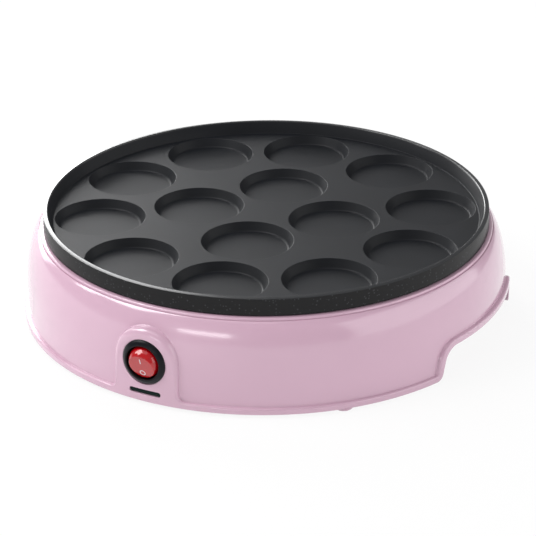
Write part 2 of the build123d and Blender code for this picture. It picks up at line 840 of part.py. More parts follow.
thermostat_base_z = bracket_z - thermostat_height
with BuildPart() as thermostat_terminals:
    with Locations((-terminal_spacing, 0, thermostat_base_z), (terminal_spacing, 0, thermostat_base_z)):
        Box(blade_thickness, blade_width, blade_length, align=(Align.CENTER, Align.CENTER, Align.MAX))
thermostat_terminals.part.label = "thermostat_terminals"
export_step(thermostat_terminals.part, "parts/thermostat_terminals.step")

with BuildPart() as thermostat_bracket:
    with BuildSketch(Plane.XY.offset(bracket_z)):
        with Locations(Location((0, 0), bracket_angle)):
            SlotCenterToCenter(2 * bracket_screw_spacing, bracket_width)
        Circle(thermostat_radius + close_gap, mode=Mode.SUBTRACT)
        with Locations(*bracket_points):
            Circle(bracket_screw_radius + close_gap, mode=Mode.SUBTRACT)
    extrude(amount=-shield_thickness)
thermostat_bracket.part.label = "thermostat_bracket"
export_step(thermostat_bracket.part, "parts/thermostat_bracket.step")

with BuildPart() as bracket_screws:
    with Locations(*[(x, y, bracket_z - shield_thickness) for x, y in bracket_points]):
        Cylinder(
            bracket_screw_head, bracket_screw_head_height, align=(Align.CENTER, Align.CENTER, Align.MAX)
        )
        Cylinder(
            bracket_screw_radius,
            thermostat_cap_height + shield_thickness,
            align=(Align.CENTER, Align.CENTER, Align.MIN),
        )
bracket_screws.part.label = "bracket_screws"
export_step(bracket_screws.part, "parts/bracket_screws.step")

# Thermal fuse in its sleeve, held under the shield by a riveted clip
fuse_z = shield_under_z - fuse_radius - close_gap
with BuildPart() as thermal_fuse:
    with Locations((0, fuse_y, fuse_z)):
        Cylinder(fuse_radius, fuse_length, rotation=(0, 90, 0))
    fillet(thermal_fuse.edges().filter_by(GeomType.CIRCLE), small_round)
thermal_fuse.part.label = "thermal_fuse"
export_step(thermal_fuse.part, "parts/thermal_fuse.step")

with BuildPart() as fuse_clip:
    with BuildSketch(Plane.YZ.offset(-clip_width / 2)):
        with Locations((fuse_y, shield_under_z)):
            Rectangle(clip_span, shield_thickness, align=(Align.CENTER, Align.MAX))
        with Locations((fuse_y, fuse_z)):
            Circle(fuse_radius + close_gap + shield_thickness)
        with Locations((fuse_y, fuse_z)):
            Circle(fuse_radius + close_gap, mode=Mode.SUBTRACT)
        with Locations((fuse_y, shield_under_z)):
            Rectangle(2 * fuse_radius, 2 * fuse_radius, align=(Align.CENTER, Align.MIN), mode=Mode.SUBTRACT)
            Rectangle(2 * fuse_radius, fuse_radius, align=(Align.CENTER, Align.MAX), mode=Mode.SUBTRACT)
    extrude(amount=clip_width)
    with BuildSketch(Plane.XY.offset(shield_under_z - shield_thickness)):
        with Locations(*rivet_points):
            Circle(rivet_radius)
    extrude(amount=shield_thickness, mode=Mode.SUBTRACT)
fuse_clip.part.label = "fuse_clip"
export_step(fuse_clip.part, "parts/fuse_clip.step")

with BuildPart() as clip_rivets:
    with BuildSketch(Plane.XY.offset(shield_under_z - shield_thickness)):
        with Locations(*rivet_points):
            Circle(rivet_head)
    extrude(amount=-shield_thickness)
    with BuildSketch(Plane.XY.offset(shield_under_z - shield_thickness)):
        with Locations(*rivet_points):
            Circle(rivet_radius - running_gap)
    extrude(amount=2 * shield_thickness)
    with BuildSketch(Plane.XY.offset(shield_floor_z)):
        with Locations(*rivet_points):
            Circle(rivet_head)
    extrude(amount=shield_thickness)
clip_rivets.part.label = "clip_rivets"
export_step(clip_rivets.part, "parts/clip_rivets.step")

# Earth tag and its screw under the shield
with BuildPart() as earth_tag:
    with BuildSketch(Plane.XY.offset(shield_under_z)):
        with Locations((earth_x, earth_y)):
            Rectangle(earth_tag_size, earth_tag_size)
            Circle(plate_screw_radius + close_gap, mode=Mode.SUBTRACT)
        with Locations((earth_x + earth_tag_size, earth_y)):
            Rectangle(earth_tag_size, 2 * (wire_radius + crimp_wall))
    extrude(amount=-shield_thickness)
    with BuildSketch(Plane.XY.offset(shield_under_z)):
        with Locations((earth_x + earth_tag_size, earth_y)):
            Circle(wire_radius + crimp_wall)
    extrude(amount=-spade_reach / 2)
earth_tag.part.label = "earth_tag"
export_step(earth_tag.part, "parts/earth_tag.step")

with BuildPart() as earth_screw:
    with Locations((earth_x, earth_y, shield_under_z - shield_thickness)):
        Cylinder(
            plate_screw_head, plate_screw_radius, align=(Align.CENTER, Align.CENTER, Align.MAX)
        )
        Cylinder(
            plate_screw_radius,
            2 * shield_thickness + nut_height + screw_end_gap,
            align=(Align.CENTER, Align.CENTER, Align.MIN),
        )
    with BuildSketch(Plane.XY.offset(shield_floor_z)):
        with Locations((earth_x, earth_y)):
            RegularPolygon(plate_screw_head, 6)
    extrude(amount=nut_height)
earth_screw.part.label = "earth_screw"
export_step(earth_screw.part, "parts/earth_screw.step")

# Rocker switch: planes with x to the left, y up and z into the housing
seat_plane = Plane(origin=(0, seat_y, switch_z), x_dir=(-1, 0, 0), z_dir=(0, 1, 0))
tilt_cos = math.cos(math.radians(rocker_tilt))
tilt_sin = math.sin(math.radians(rocker_tilt))
rocker_plane = Plane(
    origin=(0, seat_y + rocker_pivot_depth, switch_z), x_dir=(-1, 0, 0), z_dir=(0, tilt_cos, tilt_sin)
)
face_inner = rocker_wall - rocker_face_distance
spring_start = face_inner + stem_floor
wing_start = front_inner_y - seat_y + seat_gap

with BuildPart(seat_plane) as switch_bezel:
    Cylinder(bezel_radius, bezel_height, align=(Align.CENTER, Align.CENTER, Align.MAX))
    fillet(switch_bezel.edges().group_by(Axis.Y)[0], bezel_round)
    Cylinder(barrel_radius, barrel_length, align=(Align.CENTER, Align.CENTER, Align.MIN))
    with Locations((0, barrel_radius, wing_start), (0, -barrel_radius, wing_start)):
        Box(
            snap_wing_width,
            2 * snap_wing_height,
            snap_wing_length,
            align=(Align.CENTER, Align.CENTER, Align.MIN),
        )
    with Locations((0, 0, -bezel_height)):
        Cylinder(
            barrel_bore,
            bezel_height + barrel_length,
            align=(Align.CENTER, Align.CENTER, Align.MIN),
            mode=Mode.SUBTRACT,
        )
    with Locations((0, 0, rocker_pivot_depth)):
        Cylinder(
            pivot_pin_radius + running_gap, 4 * barrel_radius, rotation=(0, 90, 0), mode=Mode.SUBTRACT
        )
    inner_lip = switch_bezel.edges().filter_by(GeomType.CIRCLE).filter_by(
        lambda e: abs(e.radius - barrel_bore) < 0.01 and abs(e.center().Y - seat_y + bezel_height) < 0.01
    )
    fillet(inner_lip, bezel_inner_round)
switch_bezel.part.label = "switch_bezel"
export_step(switch_bezel.part, "parts/switch_bezel.step")

with BuildPart(rocker_plane) as rocker_hollow:
    Sphere(rocker_ball_radius - rocker_wall)
    with Locations((0, 0, face_inner)):
        Box(
            4 * rocker_ball_radius,
            4 * rocker_ball_radius,
            2 * rocker_ball_radius,
            align=(Align.CENTER, Align.CENTER, Align.MAX),
            mode=Mode.SUBTRACT,
        )

with BuildPart(rocker_plane) as rocker:
    Sphere(rocker_ball_radius)
    with Locations((0, 0, -rocker_face_distance)):
        Box(
            4 * rocker_ball_radius,
            4 * rocker_ball_radius,
            2 * rocker_ball_radius,
            align=(Align.CENTER, Align.CENTER, Align.MAX),
            mode=Mode.SUBTRACT,
        )
    with Locations((0, 0, rocker_back)):
        Box(
            4 * rocker_ball_radius,
            4 * rocker_ball_radius,
            2 * rocker_ball_radius,
            align=(Align.CENTER, Align.CENTER, Align.MIN),
            mode=Mode.SUBTRACT,
        )
    add(rocker_hollow.part, mode=Mode.SUBTRACT)
    with Locations((0, 0, face_inner - close_gap)):
        Cylinder(
            stem_radius,
            stem_reach - face_inner + close_gap,
            align=(Align.CENTER, Align.CENTER, Align.MIN),
        )
    with Locations((0, 0, spring_start)):
        Cylinder(
            plunger_radius + close_gap,
            stem_reach - spring_start + overshoot,
            align=(Align.CENTER, Align.CENTER, Align.MIN),
            mode=Mode.SUBTRACT,
        )
    pin_place = rocker_ball_radius + pivot_pin_length / 2 - pivot_pin_root
    with Locations((pin_place, 0, 0), (-pin_place, 0, 0)):
        Cylinder(pivot_pin_radius, pivot_pin_length, rotation=(0, 90, 0))
rocker.part.label = "rocker"
export_step(rocker.part, "parts/rocker.step")

# Printed marks on the rocker: a stroke for on and a ring for off
with BuildPart() as rocker_marks:
    with BuildSketch(rocker_plane.offset(-rocker_face_distance)):
        with Locations((0, mark_spacing)):
            Rectangle(mark_stroke, mark_height)
        with Locations((0, -mark_spacing)):
            Circle(mark_ring_radius)
            Circle(mark_ring_radius - mark_stroke, mode=Mode.SUBTRACT)
    extrude(amount=-mark_thickness)
rocker_marks.part.label = "rocker_marks"
export_step(rocker_marks.part, "parts/rocker_marks.step")

with BuildPart(rocker_plane) as switch_plunger:
    with Locations((0, 0, plunger_reach - plunger_radius)):
        Sphere(plunger_radius)
        Cylinder(
            plunger_radius, plunger_length - plunger_radius, align=(Align.CENTER, Align.CENTER, Align.MAX)
        )
switch_plunger.part.label = "switch_plunger"
export_step(switch_plunger.part, "parts/switch_plunger.step")

plunger_back = plunger_reach - plunger_length
with BuildPart(rocker_plane) as plunger_spring:
    with Locations((0, 0, spring_start)):
        Cylinder(
            plunger_radius, plunger_back - spring_start, align=(Align.CENTER, Align.CENTER, Align.MIN)
        )
        Cylinder(
            plunger_radius - spring_wall,
            plunger_back - spring_start,
            align=(Align.CENTER, Align.CENTER, Align.MIN),
            mode=Mode.SUBTRACT,
        )
plunger_spring.part.label = "plunger_spring"
export_step(plunger_spring.part, "parts/plunger_spring.step")

# Seesaw contact: a strip on a round fulcrum bar, tipped by the plunger
contact_front = contact_axis_radius + contact_standoff
contact_axis_depth = rocker_pivot_depth + plunger_reach + close_gap + contact_front
contact_plane = Plane(
    origin=(0, seat_y + contact_axis_depth, switch_z),
    x_dir=(-1, 0, 0),
    z_dir=(0, math.cos(math.radians(contact_tilt)), -math.sin(math.radians(contact_tilt))),
)
fulcrum_width = 2 * contact_width
with BuildPart(contact_plane) as contact_blade:
    Cylinder(contact_axis_radius, fulcrum_width, rotation=(0, 90, 0))
    with Locations((0, 0, -contact_front)):
        Box(
            contact_width,
            contact_length,
            contact_thickness,
            align=(Align.CENTER, Align.CENTER, Align.MIN),
        )
    pad_place = contact_length / 2 - contact_pad_radius
    with Locations((0, pad_place, -contact_axis_radius), (0, -pad_place, -contact_axis_radius)):
        Cylinder(
            contact_pad_radius, contact_axis_radius, align=(Align.CENTER, Align.CENTER, Align.MIN)
        )
contact_blade.part.label = "contact_blade"
export_step(contact_blade.part, "parts/contact_blade.step")

base_depth = barrel_length - base_thickness
pad_drop = contact_length / 2 * math.sin(math.radians(contact_tilt))
contact_head = base_depth - contact_axis_depth - pad_drop - close_gap
terminal_places = (pad_place, 0, -pad_place)
with BuildPart(seat_plane) as switch_base:
    with Locations((0, 0, base_depth)):
        Cylinder(barrel_bore - close_gap, base_thickness, align=(Align.CENTER, Align.CENTER, Align.MIN))
    for side in (-1, 1):
        with Locations((side * (contact_width / 2 + fulcrum_post), 0, base_depth)):
            Box(
                fulcrum_post,
                4 * contact_axis_radius,
                base_depth - contact_axis_depth + 2 * contact_axis_radius,
                align=(Align.CENTER, Align.CENTER, Align.MAX),
            )
    with Locations((0, 0, contact_axis_depth)):
        Cylinder(
            contact_axis_radius + running_gap, 2 * barrel_radius, rotation=(0, 90, 0), mode=Mode.SUBTRACT
        )
    with Locations(*[(0, y, base_depth) for y in terminal_places]):
        Box(
            blade_width + 2 * close_gap,
            blade_thickness + 2 * close_gap,
            3 * base_thickness,
            mode=Mode.SUBTRACT,
        )
switch_base.part.label = "switch_base"
export_step(switch_base.part, "parts/switch_base.step")

with BuildPart(seat_plane) as switch_terminals:
    with Locations(*[(0, y, base_depth) for y in terminal_places]):
        Box(
            blade_width,
            blade_thickness,
            base_thickness + spade_reach,
            align=(Align.CENTER, Align.CENTER, Align.MIN),
        )
    with Locations((0, pad_place, base_depth), (0, -pad_place, base_depth)):
        Cylinder(contact_pad_radius, contact_head, align=(Align.CENTER, Align.CENTER, Align.MAX))
switch_terminals.part.label = "switch_terminals"
export_step(switch_terminals.part, "parts/switch_terminals.step")

# Indicator: a lens bar in the boss, a lamp behind it and the holder that carries the lamp
lens_front_y = -(band_radius - lens_recess)
lens_back_y = front_inner_y + close_gap + seat_gap
flange_low_z = cover_top_z + seat_gap + close_gap
flange_high_z = indicator_z + indicator_thickness / 2 + lens_flange
with BuildPart() as indicator_lens:
    with BuildSketch(Plane.XZ.offset(-lens_front_y)):
        with Locations((0, indicator_z)):
            SlotOverall(indicator_width - 2 * close_gap, indicator_thickness - 2 * close_gap)
    extrude(amount=lens_front_y - lens_back_y)
    with BuildSketch(Plane.XZ.offset(-lens_back_y)):
        with Locations((0, (flange_low_z + flange_high_z) / 2)):
            SlotOverall(indicator_width + 2 * lens_flange, flange_high_z - flange_low_z)
    extrude(amount=-lens_flange)
    front_edges = indicator_lens.edges().filter_by(lambda e: abs((e @ 0.5).Y - lens_front_y) < 0.01)
    fillet(front_edges, lens_round)
indicator_lens.part.label = "indicator_lens"
export_step(indicator_lens.part, "parts/indicator_lens.step")

lamp_y = lens_back_y + lens_flange + lamp_radius + seat_gap
lamp_z = indicator_z + lamp_lift
with BuildPart() as indicator_lamp:
    with Locations((0, lamp_y, lamp_z)):
        Cylinder(lamp_radius, lamp_length, rotation=(0, 90, 0))
    fillet(indicator_lamp.edges().filter_by(GeomType.CIRCLE), 0.6 * lamp_radius)
indicator_lamp.part.label = "indicator_lamp"
export_step(indicator_lamp.part, "parts/indicator_lamp.step")

with BuildPart() as lamp_holder:
    with Locations((0, lamp_y, cover_top_z)):
        Box(
            0.6 * lamp_length,
            1.8 * lamp_radius,
            lamp_z - cover_top_z,
            align=(Align.CENTER, Align.CENTER, Align.MIN),
        )
    with Locations((0, lamp_y, lamp_z)):
        Cylinder(lamp_radius + close_gap, lamp_length, rotation=(0, 90, 0), mode=Mode.SUBTRACT)
lamp_holder.part.label = "lamp_holder"
export_step(lamp_holder.part, "parts/lamp_holder.step")

# Terminal block on the cover, with its clamping screws and fixing screws
block_bore_z = cover_top_z + block_bore_height
bore_places = (-block_pitch, 0, block_pitch)
fixing_places = [(-block_screw_spacing / 2, block_y), (block_screw_spacing / 2, block_y)]
clamp_y = block_y - block_depth / 4
with BuildPart() as terminal_block:
    with Locations((0, block_y, cover_top_z)):
        Box(block_width, block_depth, block_height, align=(Align.CENTER, Align.CENTER, Align.MIN))
    chamfer(terminal_block.edges().filter_by(Axis.Z), small_round)
    with Locations(*[(x, block_y, block_bore_z) for x in bore_places]):
        Cylinder(block_bore_radius, 2 * block_depth, rotation=(90, 0, 0), mode=Mode.SUBTRACT)
    with BuildSketch(Plane.XY.offset(block_bore_z)):
        with Locations(*[(x, clamp_y) for x in bore_places]):
            Circle(clamp_screw_radius + close_gap)
    extrude(amount=block_height, mode=Mode.SUBTRACT)
    with BuildSketch(Plane.XY.offset(cover_top_z)):
        with Locations(*fixing_places):
            Circle(cover_screw_radius + close_gap)
    extrude(amount=block_height, mode=Mode.SUBTRACT)
terminal_block.part.label = "terminal_block"
export_step(terminal_block.part, "parts/terminal_block.step")

clamp_screw_z = block_bore_z + wire_radius + close_gap
with BuildPart() as clamp_screws:
    with Locations(*[(x, clamp_y, clamp_screw_z) for x in bore_places]):
        Cylinder(
            clamp_screw_radius, clamp_screw_length, align=(Align.CENTER, Align.CENTER, Align.MIN)
        )
    with Locations(*[(x, clamp_y, clamp_screw_z + clamp_screw_length) for x in bore_places]):
        Box(4 * clamp_screw_radius, slot_width, 2 * slot_width, mode=Mode.SUBTRACT)
clamp_screws.part.label = "clamp_screws"
export_step(clamp_screws.part, "parts/clamp_screws.step")

block_top_z = cover_top_z + block_height
block_screw_top_z = block_top_z + block_screw_head_height
with BuildPart() as block_screws:
    with Locations(*[(x, y, block_top_z) for x, y in fixing_places]):
        Cylinder(
            block_screw_head, block_screw_head_height, align=(Align.CENTER, Align.CENTER, Align.MIN)
        )
        Cylinder(
            cover_screw_radius,
            block_top_z - cover_z - seat_gap,
            align=(Align.CENTER, Align.CENTER, Align.MAX),
        )
    with Locations(*[(x, y, block_screw_top_z) for x, y in fixing_places]):
        Box(4 * block_screw_head, slot_width, 2 * slot_width, mode=Mode.SUBTRACT)
block_screws.part.label = "block_screws"
export_step(block_screws.part, "parts/block_screws.step")


def wire_radii(points):
    """Bend radius at each inner point: as large as the two runs beside it allow."""
    radii = []
    for before, corner, after in zip(points, points[1:], points[2:]):
        first = Vector(*corner) - Vector(*before)
        second = Vector(*after) - Vector(*corner)
        half_turn = math.radians(first.get_angle(second) / 2)
        radii.append(0.45 * min(first.length, second.length) / math.tan(half_turn))
    return radii


def wire_path(points):
    """Path of straight runs joined by tangent arcs through the points."""
    with BuildLine() as path:
        FilletPolyline(*points, radius=wire_radii(points))
    return path.wires()[0]


# Inner wires, each along its own route from terminal to terminal
spade_y = seat_y + barrel_length + spade_reach + close_gap
block_end_y = block_y - block_depth / 4
blade_end_z = thermostat_base_z - blade_length - close_gap
pin_end_z = element_end_z - pin_length - close_gap
pin_right, pin_left = leg_centres
low_z = cover_top_z + wire_lift
near = 0.4 * element_ring
far = 0.7 * element_ring
wire_routes = {
    "wire_live": [
        (-block_pitch, block_end_y, block_bore_z),
        (-block_pitch, block_end_y - 2 * block_pitch, block_bore_z),
        (-far, far, low_z),
        (-far, -far, low_z),
        (-near, seat_y + far, low_z),
        (0, -(shield_wall_radius + shield_thickness + 2 * wire_radius), switch_z + pad_place),
        (0, spade_y, switch_z + pad_place),
    ],
    "wire_switched": [
        (0, spade_y, switch_z - pad_place),
        (0, spade_y + block_pitch, switch_z - pad_place),
        (-near, -element_ring, switch_z - pad_place),
        (-near, -near, switch_z - pad_place),
        (-terminal_spacing, 0, low_z),
        (-terminal_spacing, 0, blade_end_z),
    ],
    "wire_element": [
        (terminal_spacing, 0, blade_end_z),
        (terminal_spacing, 0, low_z),
        (near, -near, low_z),
        (near, pin_right[1] + block_pitch, low_z),
        (*pin_right, cover_top_z + 2 * wire_radius),
        (*pin_right, pin_end_z),
    ],
    "wire_neutral": [
        (0, block_end_y, block_bore_z),
        (0, block_end_y - block_pitch, block_bore_z),
        (near, (block_end_y + fuse_y) / 2, low_z + block_pitch),
        (near, fuse_y, fuse_z),
        (fuse_length / 2 + close_gap, fuse_y, fuse_z),
    ],
    "wire_fused": [
        (-fuse_length / 2 - close_gap, fuse_y, fuse_z),
        (-near, fuse_y, fuse_z),
        (-far, 0, low_z + block_pitch),
        (-1.2 * near, -far, low_z),
        (*pin_left, cover_top_z + 2 * wire_radius),
        (*pin_left, pin_end_z),
    ],
    "wire_earth": [
        (block_pitch, block_end_y, block_bore_z),
        (block_pitch, block_end_y - block_pitch, block_bore_z),
        (earth_x + earth_tag_size, earth_y + 2 * block_pitch, block_bore_z),
        (earth_x + earth_tag_size, earth_y, block_bore_z + block_pitch),
        (earth_x + earth_tag_size, earth_y, shield_under_z - spade_reach / 2 - close_gap),
    ],
}
for wire_name, points in wire_routes.items():
    with BuildPart() as wire:
        route = wire_path(points)
        with BuildSketch(Plane(origin=route @ 0, z_dir=route % 0)):
            Circle(wire_radius)
        sweep(path=route)
    wire.part.label = wire_name
    export_step(wire.part, f"parts/{wire_name}.step")

lead_end_x = blade_width / 2 + close_gap + lead_radius
with BuildPart() as lamp_leads:
    for side, level in ((1, switch_z - pad_place), (-1, switch_z)):
        points = [
            (side * (lamp_length / 2 + close_gap), lamp_y, lamp_z),
            (side * lamp_length, lamp_y, lamp_z),
            (side * lamp_length, spade_y - spade_reach / 2, (lamp_z + level) / 2),
            (side * lead_end_x, spade_y - spade_reach / 2, level),
        ]
        route = wire_path(points)
        with BuildSketch(Plane(origin=route @ 0, z_dir=route % 0)):
            Circle(lead_radius)
        sweep(path=route)
lamp_leads.part.label = "lamp_leads"
export_step(lamp_leads.part, "parts/lamp_leads.step")
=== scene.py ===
"""Looks of the mini pancake maker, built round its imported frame.

Lengths inside the classes are millimetres in the frame's axes: +Z up, -Y to the front, +X to the right.
They become metres where a mesh, a lamp or the camera is made.
"""

import json
import logging
import math
from dataclasses import dataclass, field
from enum import Enum

import bmesh
import bpy
import numpy as np
from mathutils import Matrix, Vector
from mathutils.geometry import delaunay_2d_cdt

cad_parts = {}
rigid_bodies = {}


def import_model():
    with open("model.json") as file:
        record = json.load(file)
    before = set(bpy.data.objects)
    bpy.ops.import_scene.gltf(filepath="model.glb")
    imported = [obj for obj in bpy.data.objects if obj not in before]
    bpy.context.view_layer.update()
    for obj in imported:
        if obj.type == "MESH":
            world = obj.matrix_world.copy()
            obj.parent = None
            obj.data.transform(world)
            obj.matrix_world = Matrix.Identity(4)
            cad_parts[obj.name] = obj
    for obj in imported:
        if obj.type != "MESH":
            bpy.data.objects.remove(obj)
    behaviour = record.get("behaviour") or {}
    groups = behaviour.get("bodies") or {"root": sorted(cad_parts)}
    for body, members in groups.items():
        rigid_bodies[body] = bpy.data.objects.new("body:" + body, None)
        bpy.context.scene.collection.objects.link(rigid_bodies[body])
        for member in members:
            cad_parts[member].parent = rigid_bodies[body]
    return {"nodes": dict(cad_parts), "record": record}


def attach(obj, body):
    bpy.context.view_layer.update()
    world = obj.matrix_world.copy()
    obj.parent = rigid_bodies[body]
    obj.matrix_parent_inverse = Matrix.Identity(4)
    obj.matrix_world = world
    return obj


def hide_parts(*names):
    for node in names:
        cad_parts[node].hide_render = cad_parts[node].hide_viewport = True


for leftover in list(bpy.data.objects):
    bpy.data.objects.remove(leftover)
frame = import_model()
bpy.context.view_layer.update()

LOG = logging.getLogger("pancake_maker")
MM = 0.001
WELD = 0.004
APPLIANCE, ROCKER = "appliance", "rocker"
QUARTER, TURN = math.pi / 2, 2 * math.pi
NET_TOLERANCE = 1e-6
HOLE_EDGE = 0.999
RIB_ENDS = (0.0, 0.85, 1.0, 1.0, 0.85, 0.0)
Color = tuple[float, float, float, float]
Corner = tuple[float, float, float]
Profile = tuple[Corner, ...]
Pair = tuple[float, float]
Socket = bpy.types.NodeSocket
Tree = bpy.types.ShaderNodeTree


class Finish(Enum):
    """Named finishes; each value is the name of the material slot in the record."""

    COATING = "plate_coating"
    PINK = "housing_pink"
    COVER = "cover_plastic"
    STEEL = "screw_steel"
    BRASS = "brass_parts"
    RUBBER = "bush_rubber"
    SHEET = "shield_metal"
    ELEMENT = "element_steel"
    WHITE_CERAMIC = "white_ceramic"
    DARK_CERAMIC = "dark_ceramic"
    SLEEVE = "fuse_sleeve"
    BEZEL = "bezel_plastic"
    ROCKER_RED = "rocker_red"
    MARK = "mark_white"
    LENS = "lens_dark"
    LAMP = "lamp_glass"
    NYLON = "block_plastic"
    BROWN_WIRE = "wire_brown"
    BLUE_WIRE = "wire_blue"
    GREEN_WIRE = "wire_green"


def linear(red: float, green: float, blue: float) -> Color:
    """Turns a display colour into the linear colour that a shader takes.

    Args:
        red: Red, 0 to 255.
        green: Green, 0 to 255.
        blue: Blue, 0 to 255.

    Returns:
        The colour, with full alpha.
    """
    shares = (value / 255.0 for value in (red, green, blue))
    return (*(s / 12.92 if s <= 0.04045 else ((s + 0.055) / 1.055) ** 2.4 for s in shares), 1.0)


def titled(label: str) -> str:
    """The socket's name for a keyword: fine_scale stands for Fine Scale."""
    return label.replace("_", " ").title()


class NodeDraft:
    """A node tree in the making."""

    def __init__(self, tree: Tree) -> None:
        """Starts on a tree."""
        self.nodes, self.links = tree.nodes, tree.links

    def node(self, kind: str, inputs: dict[str | int, float | Color | Socket],
             **options: str | Tree) -> bpy.types.Node:
        """Adds a node.

        Args:
            kind: Its type, without ShaderNode before it.
            inputs: For each input, the socket that feeds it or the constant that it holds.
            **options: The node's own options.

        Returns:
            The node.
        """
        made = self.nodes.new("ShaderNode" + kind)
        for option, value in options.items():
            setattr(made, option, value)
        for label, value in inputs.items():
            if isinstance(value, Socket):
                self.links.new(value, made.inputs[label])
            else:
                made.inputs[label].default_value = value
        return made

    def math(self, operation: str, first: Socket, second: Socket) -> Socket:
        """The result of one calculation on two values."""
        return self.node("Math", {0: first, 1: second}, operation=operation).outputs["Value"]

    def span(self, value: Socket, low: float, high: float) -> Socket:
        """Turns a value from 0 to 1 into one from low to high."""
        return self.node("MapRange", {"Value": value, "To Min": low, "To Max": high}).outputs["Result"]


class GroupDraft(NodeDraft):
    """A shader group in the making, with the object's coordinates at hand."""

    def __init__(self, name: str, **inputs: float) -> None:
        """Makes the group and its number inputs.

        Args:
            name: The group's name.
            **inputs: The inputs and their usual values.
        """
        self.tree = bpy.data.node_groups.new(name, "ShaderNodeTree")
        super().__init__(self.tree)
        for label, value in inputs.items():
            self.socket(label, "INPUT").default_value = value
        self.given = self.nodes.new("NodeGroupInput").outputs
        self.place = self.node("TexCoord", {}).outputs["Object"]

    def socket(self, label: str, way: str) -> bpy.types.NodeTreeInterfaceSocket:
        """Adds a number to the group's inputs or outputs."""
        return self.tree.interface.new_socket(titled(label), in_out=way, socket_type="NodeSocketFloat")

    def noise(self, place: Socket, scale: Socket, detail: float) -> Socket:
        """Noise between 0 and 1."""
        return self.node("TexNoise", {"Vector": place, "Scale": scale, "Detail": detail}).outputs["Fac"]

    def closed(self, **outputs: Socket) -> Tree:
        """Makes the group's outputs.

        Args:
            **outputs: The outputs and the sockets that feed them.

        Returns:
            The group.
        """
        for label in outputs:
            self.socket(label, "OUTPUT")
        end = self.nodes.new("NodeGroupOutput")
        for label, source in outputs.items():
            self.links.new(source, end.inputs[titled(label)])
        return self.tree


class Effects:
    """The shader groups that several finishes share, each built once."""

    def __init__(self) -> None:
        """Builds every group."""
        self.grain, self.speckle = self._grain(), self._speckle()
        self.brush, self.ring = self._brush(), self._ring()

    @staticmethod
    def _grain() -> Tree:
        """Mixes fine moulded grain with slow waviness.

        Returns:
            A group that gives a height, and a mottle that varies slowly.
        """
        draft = GroupDraft("moulded_grain", fine_scale=2500.0, slow_scale=30.0, fine_share=0.5)
        fine = draft.noise(draft.place, draft.given["Fine Scale"], 3.0)
        slow = draft.noise(draft.place, draft.given["Slow Scale"], 2.0)
        mix = draft.node("Mix", {"Factor": draft.given["Fine Share"], "A": slow, "B": fine})
        return draft.closed(height=mix.outputs["Result"], mottle=slow)

    @staticmethod
    def _speckle() -> Tree:
        """Scatters tiny round flecks, one in some of the cells of a random net.

        Returns:
            A group that gives a mask: 1 inside a fleck and 0 elsewhere.
        """
        draft = GroupDraft("coating_speckle", scale=900.0, size=0.2, share=0.5)
        cells = draft.node("TexVoronoi", {"Vector": draft.place, "Scale": draft.given["Scale"]}).outputs
        red = draft.node("SeparateColor", {"Color": cells["Color"]}).outputs["Red"]
        near = draft.math("LESS_THAN", cells["Distance"], draft.given["Size"])
        chosen = draft.math("LESS_THAN", red, draft.given["Share"])
        return draft.closed(mask=draft.math("MULTIPLY", near, chosen))

    @staticmethod
    def _brush() -> Tree:
        """Draws noise out along X to rolled or drawn streaks, about thirty times as long as wide.

        Returns:
            A group that gives a height.
        """
        draft = GroupDraft("rolled_streaks", scale=900.0, stretch=0.03)
        parts = draft.node("SeparateXYZ", {"Vector": draft.place}).outputs
        along = draft.math("MULTIPLY", parts["X"], draft.given["Stretch"])
        drawn = draft.node("CombineXYZ", {"X": along, "Y": parts["Y"], "Z": parts["Z"]}).outputs["Vector"]
        return draft.closed(height=draft.noise(drawn, draft.given["Scale"], 4.0))

    @staticmethod
    def _ring() -> Tree:
        """Parts what lies near the upright axis from what lies far from it.

        Returns:
            A group that gives a mask: 0 inside the start radius and 1 beyond the end radius.
        """
        draft = GroupDraft("outside_radius", start=0.1, end=0.11)
        level = draft.node("VectorMath", {0: draft.place, 1: (1.0, 1.0, 0.0)}, operation="MULTIPLY")
        reach = draft.node("VectorMath", {0: level.outputs["Vector"]}, operation="LENGTH")
        share = draft.node("MapRange", {"Value": reach.outputs["Value"], "From Min": draft.given["Start"],
                                        "From Max": draft.given["End"]}, interpolation_type="SMOOTHSTEP")
        return draft.closed(mask=share.outputs["Result"])


class MaterialDraft(NodeDraft):
    """A material in the making: its shader and the chains that feed it."""

    def __init__(self, name: str) -> None:
        """Makes a material with a plain shader.

        Args:
            name: The material's name.
        """
        self.material = bpy.data.materials.new(name)
        self.material.use_nodes = True
        super().__init__(self.material.node_tree)
        self.shader = self.nodes["Principled BSDF"]

    def hold(self, constants: dict[str, float | Color]) -> None:
        """Writes constants on the shader's own sockets."""
        for label, value in constants.items():
            self.shader.inputs[label].default_value = value

    def group(self, tree: Tree, **inputs: float) -> bpy.types.NodeOutputs:
        """Adds a shared effect with the inputs' values, and gives back its outputs."""
        values = {titled(label): value for label, value in inputs.items()}
        return self.node("Group", values, node_tree=tree).outputs

    def tint(self, factor: Socket, first: Color | Socket, second: Color | Socket) -> Socket:
        """Mixes two colours, the first at factor 0 and the second at factor 1."""
        return self.node("Mix", {0: factor, 6: first, 7: second}, data_type="RGBA").outputs[2]

    def feed(self, **sockets: Socket) -> None:
        """Links sockets to the shader's inputs."""
        for label, socket in sockets.items():
            self.links.new(socket, self.shader.inputs[titled(label)])

    def bump(self, height: Socket, strength: float, depth: float = 0.00005) -> None:
        """Feeds the shader's normal from a height, whose depth is metres."""
        node = self.node("Bump", {"Height": height, "Strength": strength, "Distance": depth})
        self.feed(normal=node.outputs["Normal"])


